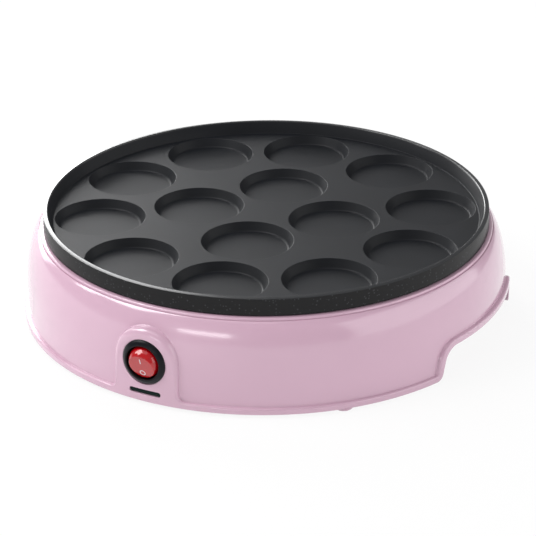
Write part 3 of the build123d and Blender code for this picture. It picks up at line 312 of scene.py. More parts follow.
@dataclass(frozen=True)
class Plastic:
    """A moulded finish: a colour with slow variation, fine grain in the bump and a varying gloss."""

    color: Color
    shade: Color
    roughness: float
    gloss_change: float = 0.06
    ior: float = 1.5
    coat: float = 0.0
    coat_roughness: float = 0.04
    bump: float = 0.03
    fine_scale: float = 2500.0
    slow_scale: float = 30.0

    def dress(self, draft: MaterialDraft, effects: Effects) -> None:
        """Feeds the shader from the shared grain.

        Args:
            draft: The material in the making.
            effects: The shared groups.
        """
        draft.hold({"IOR": self.ior, "Coat Weight": self.coat, "Coat Roughness": self.coat_roughness})
        grain = draft.group(effects.grain, fine_scale=self.fine_scale, slow_scale=self.slow_scale)
        low, high = max(self.roughness - self.gloss_change, 0.0), self.roughness + self.gloss_change
        draft.feed(base_color=draft.tint(grain["Mottle"], self.color, self.shade),
                   roughness=draft.span(grain["Mottle"], low, high))
        draft.bump(grain["Height"], self.bump)


@dataclass(frozen=True)
class Coating:
    """The plate's dark coating: satin in the tray, glossy on the turned rim, matt and grainy outside.

    rim_start is the radius, in metres, where the tray's slope meets the rim, and wall_start the one
    where the rim turns down into the outer wall. Each change takes blend metres.
    """

    color: Color
    shade: Color
    wall_color: Color
    fleck_color: Color
    roughness: float = 0.55
    wall_roughness: float = 0.8
    specular: float = 0.2
    tray_seal: float = 0.05
    wall_seal: float = 0.4
    seal_ior: float = 1.45
    seal_roughness: float = 0.2
    rim_start: float = 0.1124
    wall_start: float = 0.1149
    blend: float = 0.00015
    fleck_scale: float = 700.0
    fleck_size: float = 0.28
    fleck_share: float = 0.4
    grain_scale: float = 1300.0
    mottle_scale: float = 45.0
    bump: float = 0.5

    def dress(self, draft: MaterialDraft, effects: Effects) -> None:
        """Feeds the shader from the grain, the flecks and the masks of the rim and outer wall.

        Args:
            draft: The material in the making.
            effects: The shared groups.
        """
        draft.hold({"Specular IOR Level": self.specular, "Coat IOR": self.seal_ior,
                    "Coat Roughness": self.seal_roughness})
        grain = draft.group(effects.grain, fine_scale=self.grain_scale, slow_scale=self.mottle_scale)
        flecks = draft.group(effects.speckle, scale=self.fleck_scale, size=self.fleck_size,
                             share=self.fleck_share)["Mask"]
        rim, wall = (draft.group(effects.ring, start=start, end=start + self.blend)["Mask"]
                     for start in (self.rim_start, self.wall_start))
        top = draft.tint(grain["Mottle"], self.color, self.shade)
        outside = draft.tint(flecks, self.wall_color, self.fleck_color)
        seals = draft.span(rim, self.tray_seal, 1.0), draft.span(wall, 1.0, self.wall_seal)
        draft.feed(base_color=draft.tint(wall, top, outside), coat_weight=draft.math("MULTIPLY", *seals),
                   roughness=draft.span(wall, self.roughness, self.wall_roughness))
        draft.bump(grain["Height"], self.bump)


@dataclass(frozen=True)
class Metal:
    """A rolled or drawn metal: fine streaks change its colour, its gloss and its surface."""

    color: Color
    shade: Color
    roughness: float = 0.3
    streak_scale: float = 900.0
    smoother: float = 0.1
    rougher: float = 0.12
    bump: float = 0.15
    bump_depth: float = 0.00003

    def dress(self, draft: MaterialDraft, effects: Effects) -> None:
        """Feeds the shader from the shared streaks.

        Args:
            draft: The material in the making.
            effects: The shared groups.
        """
        draft.hold({"Metallic": 1.0})
        height = draft.group(effects.brush, scale=self.streak_scale)["Height"]
        draft.feed(base_color=draft.tint(height, self.color, self.shade),
                   roughness=draft.span(height, self.roughness - self.smoother, self.roughness + self.rougher))
        draft.bump(height, self.bump, self.bump_depth)


@dataclass(frozen=True)
class Translucent:
    """A clear or tinted finish that light enters: depth of colour, a hard gloss and slight ripples."""

    color: Color
    shade: Color
    roughness: float = 0.06
    gloss_change: float = 0.4
    ior: float = 1.5
    transmission: float = 0.0
    depth: float = 0.0
    depth_scale: float = 0.0015
    coat: float = 0.0
    coat_roughness: float = 0.03
    ripple_scale: float = 900.0
    slow_scale: float = 120.0
    bump: float = 0.015

    def dress(self, draft: MaterialDraft, effects: Effects) -> None:
        """Feeds the shader from the shared grain.

        Args:
            draft: The material in the making.
            effects: The shared groups.
        """
        draft.hold({"IOR": self.ior, "Transmission Weight": self.transmission, "Subsurface Weight": self.depth,
                    "Subsurface Scale": self.depth_scale, "Coat Weight": self.coat,
                    "Coat Roughness": self.coat_roughness})
        grain = draft.group(effects.grain, fine_scale=self.ripple_scale, slow_scale=self.slow_scale)
        low, high = (self.roughness * (1 + side * self.gloss_change) for side in (-1, 1))
        draft.feed(base_color=draft.tint(grain["Mottle"], self.color, self.shade),
                   roughness=draft.span(grain["Mottle"], low, high))
        draft.bump(grain["Height"], self.bump)


FINISHES: dict[Finish, Plastic | Coating | Metal | Translucent] = {
    Finish.COATING: Coating(linear(16, 18, 22), linear(24, 26, 31), linear(12, 12, 14), linear(46, 47, 50)),
    Finish.PINK: Plastic(linear(214, 175, 196), linear(218, 180, 200), 0.2, gloss_change=0.03, coat=0.9,
                         coat_roughness=0.11, bump=0.02),
    Finish.COVER: Plastic(linear(205, 172, 190), linear(212, 180, 197), 0.5, bump=0.3, fine_scale=900.0),
    Finish.STEEL: Metal((0.60, 0.60, 0.62, 1), (0.48, 0.48, 0.50, 1)),
    Finish.BRASS: Metal((0.78, 0.60, 0.30, 1), (0.66, 0.48, 0.22, 1)),
    Finish.RUBBER: Plastic(linear(38, 38, 40), linear(46, 46, 48), 0.7, bump=0.4, fine_scale=1200.0),
    Finish.SHEET: Metal((0.76, 0.77, 0.78, 1), (0.66, 0.67, 0.68, 1), 0.35),
    Finish.ELEMENT: Metal((0.30, 0.28, 0.27, 1), (0.42, 0.38, 0.36, 1), 0.45, streak_scale=300.0),
    Finish.WHITE_CERAMIC: Plastic(linear(236, 232, 222), linear(226, 220, 208), 0.55, bump=0.3),
    Finish.DARK_CERAMIC: Plastic(linear(70, 56, 48), linear(60, 48, 42), 0.5, bump=0.3),
    Finish.SLEEVE: Plastic(linear(232, 232, 222), linear(214, 214, 202), 0.85, bump=0.8, fine_scale=1800.0),
    Finish.BEZEL: Plastic(linear(15, 17, 21), linear(20, 22, 27), 0.3, ior=1.27, bump=0.2, fine_scale=2200.0),
    Finish.ROCKER_RED: Translucent(linear(196, 3, 18), linear(172, 2, 14), depth=0.15, coat=0.7),
    Finish.MARK: Plastic(linear(236, 218, 222), linear(226, 208, 212), 0.4),
    Finish.LENS: Translucent(linear(2, 24, 23), linear(3, 30, 28), 0.12, ior=1.22),
    Finish.LAMP: Translucent(linear(240, 236, 228), linear(236, 232, 224), transmission=1.0),
    Finish.NYLON: Plastic(linear(234, 231, 220), linear(226, 222, 210), 0.45, bump=0.2),
    Finish.BROWN_WIRE: Plastic(linear(108, 66, 42), linear(98, 58, 36), 0.55, bump=0.2),
    Finish.BLUE_WIRE: Plastic(linear(52, 92, 168), linear(46, 82, 152), 0.55, bump=0.2),
    Finish.GREEN_WIRE: Plastic(linear(104, 150, 48), linear(196, 196, 60), 0.55, slow_scale=180.0),
}


@dataclass(frozen=True)
class Layout:
    """Places that several sub-assemblies are built to."""

    skirt_z: float = 1.5
    switch_z: float = 23.1
    seat_y: float = -126.5
    indicator_z: float = 6.9
    cord_z: float = 14.5
    foot_ring: float = 122.0
    foot_angles: tuple[float, ...] = (45, 135, 225, 315)


LAYOUT = Layout()


def ramp(value: np.ndarray, start: float, end: float) -> np.ndarray:
    """Smooth step: 0 up to start, 1 from end on, and 3t^2 - 2t^3 between them."""
    share = np.clip((value - start) / (end - start), 0.0, 1.0)
    return share * share * (3.0 - 2.0 * share)


def around(radius: np.ndarray | float, angle: np.ndarray, z: np.ndarray | float) -> np.ndarray:
    """Points at angles counted from the front to the right: (r sin a, -r cos a, z)."""
    return np.stack([radius * np.sin(angle), -radius * np.cos(angle), z + 0 * angle], axis=-1)


def grid_quads(rows: int, columns: int, close_rows: bool, close_columns: bool) -> np.ndarray:
    """Corner numbers of the quads of a rows by columns grid of points.

    Args:
        rows: Number of rows.
        columns: Number of points in a row.
        close_rows: Whether the last row joins the first.
        close_columns: Whether the last column joins the first.

    Returns:
        An array of four corner numbers per quad.
    """
    row, column = np.meshgrid(np.arange(rows if close_rows else rows - 1),
                              np.arange(columns if close_columns else columns - 1), indexing="ij")
    after, beside = (row + 1) % rows, (column + 1) % columns
    corners = ((row, column), (row, beside), (after, beside), (after, column))
    return np.stack([r * columns + c for r, c in corners], axis=-1).reshape(-1, 4)


def rounded(corners: Profile | list[Corner], closed: bool = False, steps: int = 6) -> np.ndarray:
    """Profile with its corners rounded.

    Each corner is (radius from the axis, height, rounding). The arc at a corner starts and ends at
    rounding over the tangent of half the corner's angle, and its points lie at equal angles.

    Args:
        corners: The corners in order.
        closed: Whether the last corner joins the first.
        steps: Number of runs that an arc has.

    Returns:
        An (n, 2) array of points, whose last point repeats the first when closed.
    """
    raw = np.array(corners, float)
    places, roundings = raw[:, :2], raw[:, 2]
    pieces = []
    for index, (here, rounding) in enumerate(zip(places, roundings)):
        if rounding <= 0 or (index in (0, len(places) - 1) and not closed):
            pieces.append(here[None])
            continue
        back, onward = places[index - 1] - here, places[(index + 1) % len(places)] - here
        back, onward = back / np.linalg.norm(back), onward / np.linalg.norm(onward)
        half_angle = np.arccos(np.clip(back @ onward, -1.0, 1.0)) / 2
        middle = (back + onward) / np.linalg.norm(back + onward)
        centre = here + middle * rounding / np.sin(half_angle)
        first, last = (here + way * rounding / np.tan(half_angle) - centre for way in (back, onward))
        sweep = np.arctan2(first[0] * last[1] - first[1] * last[0], first @ last)
        angle = np.linspace(0.0, sweep, steps + 1)[:, None]
        pieces.append(centre + first * np.cos(angle) + np.array([-first[1], first[0]]) * np.sin(angle))
    profile = np.concatenate(pieces)
    return np.concatenate([profile, profile[:1]]) if closed else profile


@dataclass(frozen=True)
class Axis:
    """Where a form stands: its base point and its upward and sideways directions."""

    base: Corner = (0.0, 0.0, 0.0)
    up: Corner = (0.0, 0.0, 1.0)
    side: Corner = (1.0, 0.0, 0.0)

    @staticmethod
    def on_ring(radius: float, degrees: float) -> "Axis":
        """An upright axis at a radius and an angle that is counted from the right."""
        turn = math.radians(degrees)
        return Axis((radius * math.cos(turn), radius * math.sin(turn), 0.0))

    def place(self, across: np.ndarray, along: np.ndarray, height: np.ndarray) -> np.ndarray:
        """Base + across times side + along times (up x side) + height times up.

        Args:
            across: Distances in the sideways direction.
            along: Distances square to up and side.
            height: Distances in the upward direction.

        Returns:
            The points.
        """
        up, side = np.array(self.up), np.array(self.side)
        return (np.array(self.base) + across[..., None] * side + along[..., None] * np.cross(up, side)
                + height[..., None] * up)


class Draft:
    """Collects patches of one piece, in millimetres, and makes one clean mesh object of them."""

    def __init__(self, name: str) -> None:
        """Starts an empty piece.

        Args:
            name: The name of its object and mesh.
        """
        self.name, self.count = name, 0
        self.points: list[np.ndarray] = []
        self.faces: list[list[int]] = []

    def add(self, points: np.ndarray, faces: np.ndarray) -> None:
        """Adds points and the faces that name them by their place in the array.

        Args:
            points: Points, with their three coordinates along the last axis.
            faces: Point numbers, one row per face.
        """
        self.points.append(points.reshape(-1, 3))
        self.faces.extend((faces + self.count).tolist())
        self.count += len(self.points[-1])

    def grid(self, points: np.ndarray, close_rows: bool = False, close_columns: bool = False) -> None:
        """Adds a grid of points as quads."""
        self.add(points, grid_quads(points.shape[0], points.shape[1], close_rows, close_columns))

    def turned(self, profile: np.ndarray, axis: Axis, columns: int) -> None:
        """Adds a profile turned about an axis.

        A point at radius r and height h goes to r cos a across, r sin a along and h up.

        Args:
            profile: (n, 2) array of radius and height.
            axis: Where the form stands.
            columns: Number of points round it.
        """
        angle = np.linspace(0.0, TURN, columns, endpoint=False)
        radius, height = profile[:, :1], profile[:, 1:]
        self.grid(axis.place(radius * np.cos(angle), radius * np.sin(angle), height + 0 * angle),
                  close_columns=True)

    def rod(self, radius: float, low: float, high: float, axis: Axis, columns: int) -> None:
        """Adds a closed cylinder between two heights on an axis."""
        self.turned(np.array([(0, low), (radius, low), (radius, high), (0, high)], float), axis, columns)

    def loft(self, outline: np.ndarray, sizes: tuple[float, ...], levels: tuple[float, ...],
             axis: Axis) -> None:
        """Adds a form of flat sections across an axis, each middle + size (outline - middle).

        Args:
            outline: (n, 2) closed line without its end.
            sizes: Size of each section. A first and a last size of 0 close the form.
            levels: Place of each section on the axis.
            axis: Where the form stands.
        """
        middle = outline.mean(0)
        section = middle + np.array(sizes)[:, None, None] * (outline - middle)
        height = np.array(levels)[:, None] + 0 * section[..., 0]
        self.grid(axis.place(section[..., 0], section[..., 1], height), close_columns=True)

    def block(self, low: Corner, high: Corner, degrees: float = 0.0, rounding: float = 0.3) -> None:
        """Adds a rib along X that is turned about Z. Its ends draw in to their middle.

        Args:
            low: Lowest corner.
            high: Highest corner.
            degrees: Turn about Z.
            rounding: Radius of its long edges.
        """
        (start, *near), (end, *far) = low, high
        corners = [(y, z, rounding) for y, z in (near, (far[0], near[1]), far, (near[0], far[1]))]
        turn = math.radians(degrees)
        self.loft(rounded(corners, closed=True, steps=3)[:-1], RIB_ENDS,
                  (start, start, start + rounding, end - rounding, end, end),
                  Axis(up=(math.cos(turn), math.sin(turn), 0.0), side=(-math.sin(turn), math.cos(turn), 0.0)))

    def flat(self, height: float, outer: float, holes: list[Corner], counts: tuple[int, int]) -> None:
        """Adds a level disc with round holes, as the triangles of a constrained Delaunay net.

        Args:
            height: Level of the disc.
            outer: Radius of the disc.
            holes: (x, y, radius) of each hole.
            counts: Number of points round the disc and round each hole.
        """
        places, edges, start = [], [], 0
        for x, y, radius in [(0.0, 0.0, outer)] + holes:
            count = counts[1] if start else counts[0]
            angle = np.linspace(0.0, TURN, count, endpoint=False)
            places.append(np.stack([x + radius * np.cos(angle), y + radius * np.sin(angle)], axis=-1))
            number = np.arange(count)
            edges.append(np.stack([number, (number + 1) % count], axis=-1) + start)
            start += count
        result = delaunay_2d_cdt([Vector(point) for point in np.concatenate(places).tolist()],
                                 np.concatenate(edges).tolist(), [], 1, NET_TOLERANCE)
        net = np.array([tuple(point) for point in result[0]])
        triangles = np.array([face for face in result[2] if len(face) == 3])
        centre = net[triangles].mean(axis=1)
        kept = np.hypot(centre[:, 0], centre[:, 1]) < outer
        for x, y, radius in holes:
            kept &= np.hypot(centre[:, 0] - x, centre[:, 1] - y) > radius * HOLE_EDGE
        self.add(np.column_stack([net, np.full(len(net), height)]), triangles[kept])

    def make(self, wardrobe: "Wardrobe", finish: Finish, body: str, replaces: str = "",
             sharp_deg: float = 34.0, cutters: tuple["Draft", ...] = ()) -> None:
        """Makes the object: joins doubled points, turns faces outward, shades it and dresses it.

        Args:
            wardrobe: The materials.
            finish: The finish that the piece takes.
            body: The CAD body that it rides on.
            replaces: CAD node that it stands for.
            sharp_deg: Edges that turn more than this stay sharp.
            cutters: Closed forms that are cut out of it, one after another.
        """
        piece = self.closed_object()
        for cutter in cutters:
            tool = cutter.closed_object()
            cut = piece.modifiers.new("cut", "BOOLEAN")
            cut.operation, cut.solver, cut.object = "DIFFERENCE", "EXACT", tool
            shaped = bpy.data.meshes.new_from_object(piece.evaluated_get(bpy.context.evaluated_depsgraph_get()))
            piece.modifiers.clear()
            piece.data = shaped
            bpy.data.objects.remove(tool)
        mesh = piece.data
        mesh.name = self.name
        mesh.shade_smooth()
        mesh.set_sharp_from_angle(angle=math.radians(sharp_deg))
        mesh.materials.clear()
        mesh.materials.append(wardrobe.materials[finish])
        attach(piece, body)
        if replaces:
            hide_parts(replaces)
        LOG.info("%s: %d faces on %s", self.name, len(mesh.polygons), body)

    def closed_object(self) -> bpy.types.Object:
        """Puts the patches into one mesh in metres, welds them and points the faces outward.

        Returns:
            The object.
        """
        mesh = bpy.data.meshes.new(self.name)
        mesh.from_pydata((np.concatenate(self.points) * MM).tolist(), [], self.faces)
        net = bmesh.new()
        net.from_mesh(mesh)
        bmesh.ops.remove_doubles(net, verts=net.verts, dist=WELD * MM)
        bmesh.ops.dissolve_degenerate(net, edges=net.edges, dist=WELD * MM / 10)
        bmesh.ops.delete(net, geom=[edge for edge in net.edges if not edge.link_faces], context="EDGES")
        bmesh.ops.recalc_face_normals(net, faces=net.faces)
        net.to_mesh(mesh)
        net.free()
        piece = bpy.data.objects.new(self.name, mesh)
        bpy.context.scene.collection.objects.link(piece)
        return piece


@dataclass(frozen=True)
class Outline:
    """A line on the housing's unrolled wall, with the direction across it.

    Places are (p, z): p is the distance sideways from a window's centre and z the height.
    """

    place: np.ndarray
    across: np.ndarray

    @staticmethod
    def run(start: Pair, end: Pair, across: Pair, count: int) -> "Outline":
        """A straight run of count points without its end: start + t (end - start)."""
        share = np.linspace(0.0, 1.0, count, endpoint=False)[:, None]
        return Outline(start + share * np.subtract(end, start), np.tile(np.array(across, float), (count, 1)))

    @staticmethod
    def arc(centre: Pair, radius: float, angles: Pair, inward: bool, count: int) -> "Outline":
        """An arc without its end: centre + radius (cos a, sin a).

        Args:
            centre: Centre of the arc.
            radius: Radius of the arc.
            angles: Angles where it starts and ends, in degrees.
            inward: Whether its direction across points to the centre.
            count: Number of points.

        Returns:
            The arc.
        """
        angle = np.radians(np.linspace(*angles, count, endpoint=False))
        spoke = np.stack([np.cos(angle), np.sin(angle)], axis=-1)
        return Outline(np.array(centre) + radius * spoke, -spoke if inward else spoke)

    @staticmethod
    def joined(parts: list["Outline"]) -> "Outline":
        """The parts, one after another."""
        return Outline(*(np.concatenate([getattr(part, name) for part in parts])
                         for name in ("place", "across")))

    def mirrored_on(self, last: Pair) -> "Outline":
        """Completes a line of which this is the left half.

        Args:
            last: The middle point, where the direction across is up.

        Returns:
            The half, the middle point and the half's mirror image.
        """
        flip = np.array([-1.0, 1.0])
        return Outline(*(np.concatenate([half, [middle], half[::-1] * flip])
                         for half, middle in ((self.place, last), (self.across, (0.0, 1.0)))))

    def off(self, distance: np.ndarray | float) -> np.ndarray:
        """Places at a distance from the line, in its direction across."""
        return self.place + self.across * np.reshape(distance, (-1, 1))

    def length(self) -> np.ndarray:
        """Distance along the line at each point."""
        return np.concatenate([[0.0], np.cumsum(np.linalg.norm(np.diff(self.place, axis=0), axis=1))])


@dataclass
class Columns:
    """The housing's columns: where each starts at the bottom edge, passes the band's edge and ends.

    centre is the angle of the window's middle from the front, foot and edge are Outlines at the
    bottom edge and the band's upper edge, top is the angle at the shoulder's top, square says how
    far depth runs square to the window instead of towards the middle, and rounding is that of the
    band's edge.
    """

    centre: np.ndarray
    foot: Outline
    edge: Outline
    top: np.ndarray
    square: np.ndarray
    rounding: np.ndarray

    @staticmethod
    def joined(parts: list["Columns"]) -> "Columns":
        """Joins the columns of all windows.

        Args:
            parts: The windows in order.

        Returns:
            All columns, one window after another.
        """
        chains = {name: [getattr(part, name) for part in parts] for name in Columns.__dataclass_fields__}
        return Columns(**{name: (Outline.joined if name in ("foot", "edge") else np.concatenate)(chain)
                          for name, chain in chains.items()})


@dataclass(frozen=True)
class Softbox:
    """A rectangular lamp that faces the object.

    Its azimuth is counted from the back (+Y) round to the left (-X), in degrees. Its distance,
    width and height are metres, and its radiance is what a mirror would show of it.
    """

    azimuth: float
    elevation: float
    distance: float
    width: float
    height: float
    radiance: float

    def add(self, name: str) -> None:
        """Makes the lamp. Its power is radiance times pi times its area.

        Args:
            name: The lamp's name.
        """
        data = bpy.data.lights.new(name, "AREA")
        data.shape, data.size, data.size_y = "RECTANGLE", self.width, self.height
        data.energy = self.radiance * math.pi * self.width * self.height
        turn, rise = math.radians(self.azimuth), math.radians(self.elevation)
        away = Vector((-math.sin(turn) * math.cos(rise), math.cos(turn) * math.cos(rise), math.sin(rise)))
        lamp = bpy.data.objects.new(name, data)
        lamp.location = away * self.distance
        lamp.rotation_mode = "QUATERNION"
        lamp.rotation_quaternion = (-away).to_track_quat("-Z", "Y")
        bpy.context.scene.collection.objects.link(lamp)


@dataclass
class Studio:
    """Camera, lamps, world and floor. Places are metres."""

    camera_place: Corner = (0.47116, -0.89554, 0.49877)
    camera_aim: Corner = (-0.00260, 0.00647, 0.01563)
    camera_roll_deg: float = -0.53
    lens_mm: float = 143.15
    sensor_mm: float = 36.0
    world_level: float = 0.3
    floor_half: float = 20.0
    floor_grey: float = 0.95
    floor_roughness: float = 0.9
    floor_specular: float = 0.1
    floor_glow: float = 0.9
    lamps: dict[str, Softbox] = field(default_factory=lambda: {
        "left_softbox": Softbox(58.0, 17.0, 1.6, 1.4, 0.8, 2.9),
        "high_softbox": Softbox(106.0, 44.0, 1.6, 0.32, 1.0, 6.0),
        "arch_softbox": Softbox(128.0, 52.0, 1.6, 0.55, 0.8, 7.0),
        "rim_softbox": Softbox(45.5, 29.0, 1.7, 0.34, 1.45, 7.5),
        "top_softbox": Softbox(180.0, 76.0, 1.6, 0.9, 0.9, 0.8),
        "front_strip": Softbox(180.0, 14.0, 1.6, 0.65, 0.18, 5.8),
        "right_card": Softbox(-76.0, 20.0, 1.6, 2.5, 1.1, 1.45),
    })

    def add_camera(self) -> None:
        """Makes the camera at the photograph's angle and turns it about its own axis by the roll."""
        data = bpy.data.cameras.new("photo_camera")
        data.lens, data.sensor_width = self.lens_mm, self.sensor_mm
        camera = bpy.data.objects.new("photo_camera", data)
        place, aim = Vector(self.camera_place), Vector(self.camera_aim)
        facing = (aim - place).to_track_quat("-Z", "Y").to_matrix().to_4x4()
        roll = Matrix.Rotation(math.radians(self.camera_roll_deg), 4, "Z")
        camera.matrix_world = Matrix.Translation(place) @ facing @ roll
        bpy.context.scene.collection.objects.link(camera)
        bpy.context.scene.camera = camera

    @staticmethod
    def seen_rays(draft: NodeDraft, second: str) -> Socket:
        """A value that is 1 for the camera's rays and for those of the second kind, and 0 for the rest."""
        rays = draft.node("LightPath", {}).outputs
        return draft.math("MAXIMUM", rays["Is Camera Ray"], rays[second])

    def add_world(self) -> None:
        """A plain pale world that is seen as white, by the camera and through glass."""
        world = bpy.data.worlds.new("studio")
        world.use_nodes = True
        bpy.context.scene.world = world
        draft = NodeDraft(world.node_tree)
        background = draft.nodes["Background"]
        background.inputs["Color"].default_value = (1, 1, 1, 1)
        level = draft.span(self.seen_rays(draft, "Is Transmission Ray"), self.world_level, 1.0)
        draft.links.new(level, background.inputs["Strength"])

    def add_floor(self) -> None:
        """A plain white floor. A share of it glows white where it is seen, and the rest keeps the shadow."""
        half, grey = self.floor_half, self.floor_grey
        mesh = bpy.data.meshes.new("floor")
        corners = [(-half, -half, 0), (half, -half, 0), (half, half, 0), (-half, half, 0)]
        mesh.from_pydata(corners, [], [(0, 1, 2, 3)])
        floor = bpy.data.objects.new("floor", mesh)
        bpy.context.scene.collection.objects.link(floor)
        draft = MaterialDraft("floor_white")
        draft.hold({"Base Color": (grey, grey, grey, 1), "Roughness": self.floor_roughness,
                    "Specular IOR Level": self.floor_specular})
        share = draft.span(self.seen_rays(draft, "Is Glossy Ray"), 0.0, self.floor_glow)
        glow = draft.node("Emission", {}).outputs[0]
        mix = draft.node("MixShader", {0: share, 1: draft.shader.outputs[0], 2: glow})
        draft.links.new(mix.outputs[0], draft.nodes["Material Output"].inputs["Surface"])
        mesh.materials.append(draft.material)

    def build(self) -> None:
        """Sets the whole stage."""
        bpy.context.scene.view_settings.view_transform = "Standard"
        self.add_camera()
        for name, lamp in self.lamps.items():
            lamp.add(name)
        self.add_world()
        self.add_floor()


class Wardrobe:
    """Every finish as a material, and the CAD nodes dressed in them."""

    def __init__(self, effects: Effects) -> None:
        """Builds all materials.

        Args:
            effects: The shared groups.
        """
        self.materials: dict[Finish, bpy.types.Material] = {}
        for key, recipe in FINISHES.items():
            draft = MaterialDraft(key.value)
            recipe.dress(draft, effects)
            self.materials[key] = draft.material

    def dress_nodes(self) -> None:
        """Gives each CAD node the finish that its record slot names."""
        slots = {row["node"]: row["material_slot"] for row in frame["record"]["subparts"]}
        for name, node in frame["nodes"].items():
            node.data.materials.clear()
            node.data.materials.append(self.materials[Finish(slots[name])])


@dataclass(frozen=True)
class Post:
    """Turned posts inside the housing, which stand on a ring at several angles.

    outside holds the corners of the profile from the foot to the top. The hole goes up from the foot
    to hole_top, and a bore goes on to the top. A rib is (start, end, low, high): its radii and heights.
    """

    ring: float
    angles: tuple[float, ...]
    outside: Profile
    hole: float
    hole_top: float
    bore: float = 0.0
    rib: tuple[float, ...] = ()
    rib_half: float = 1.25
    columns: int = 48

    def add(self, draft: Draft) -> None:
        """Adds each post and its rib.

        Args:
            draft: The piece that they belong to.
        """
        low, top = self.outside[0][1], self.outside[-1][1]
        profile = rounded([(self.hole, low, 0), *self.outside, (self.bore, top, 0),
                           (self.bore, self.hole_top, 0), (self.hole, self.hole_top, 0)], closed=True, steps=3)
        for degrees in self.angles:
            draft.turned(profile, Axis.on_ring(self.ring, degrees), self.columns)
            if self.rib:
                start, end, rib_low, rib_high = self.rib
                draft.block((start, -self.rib_half, rib_low), (end, self.rib_half, rib_high), degrees)


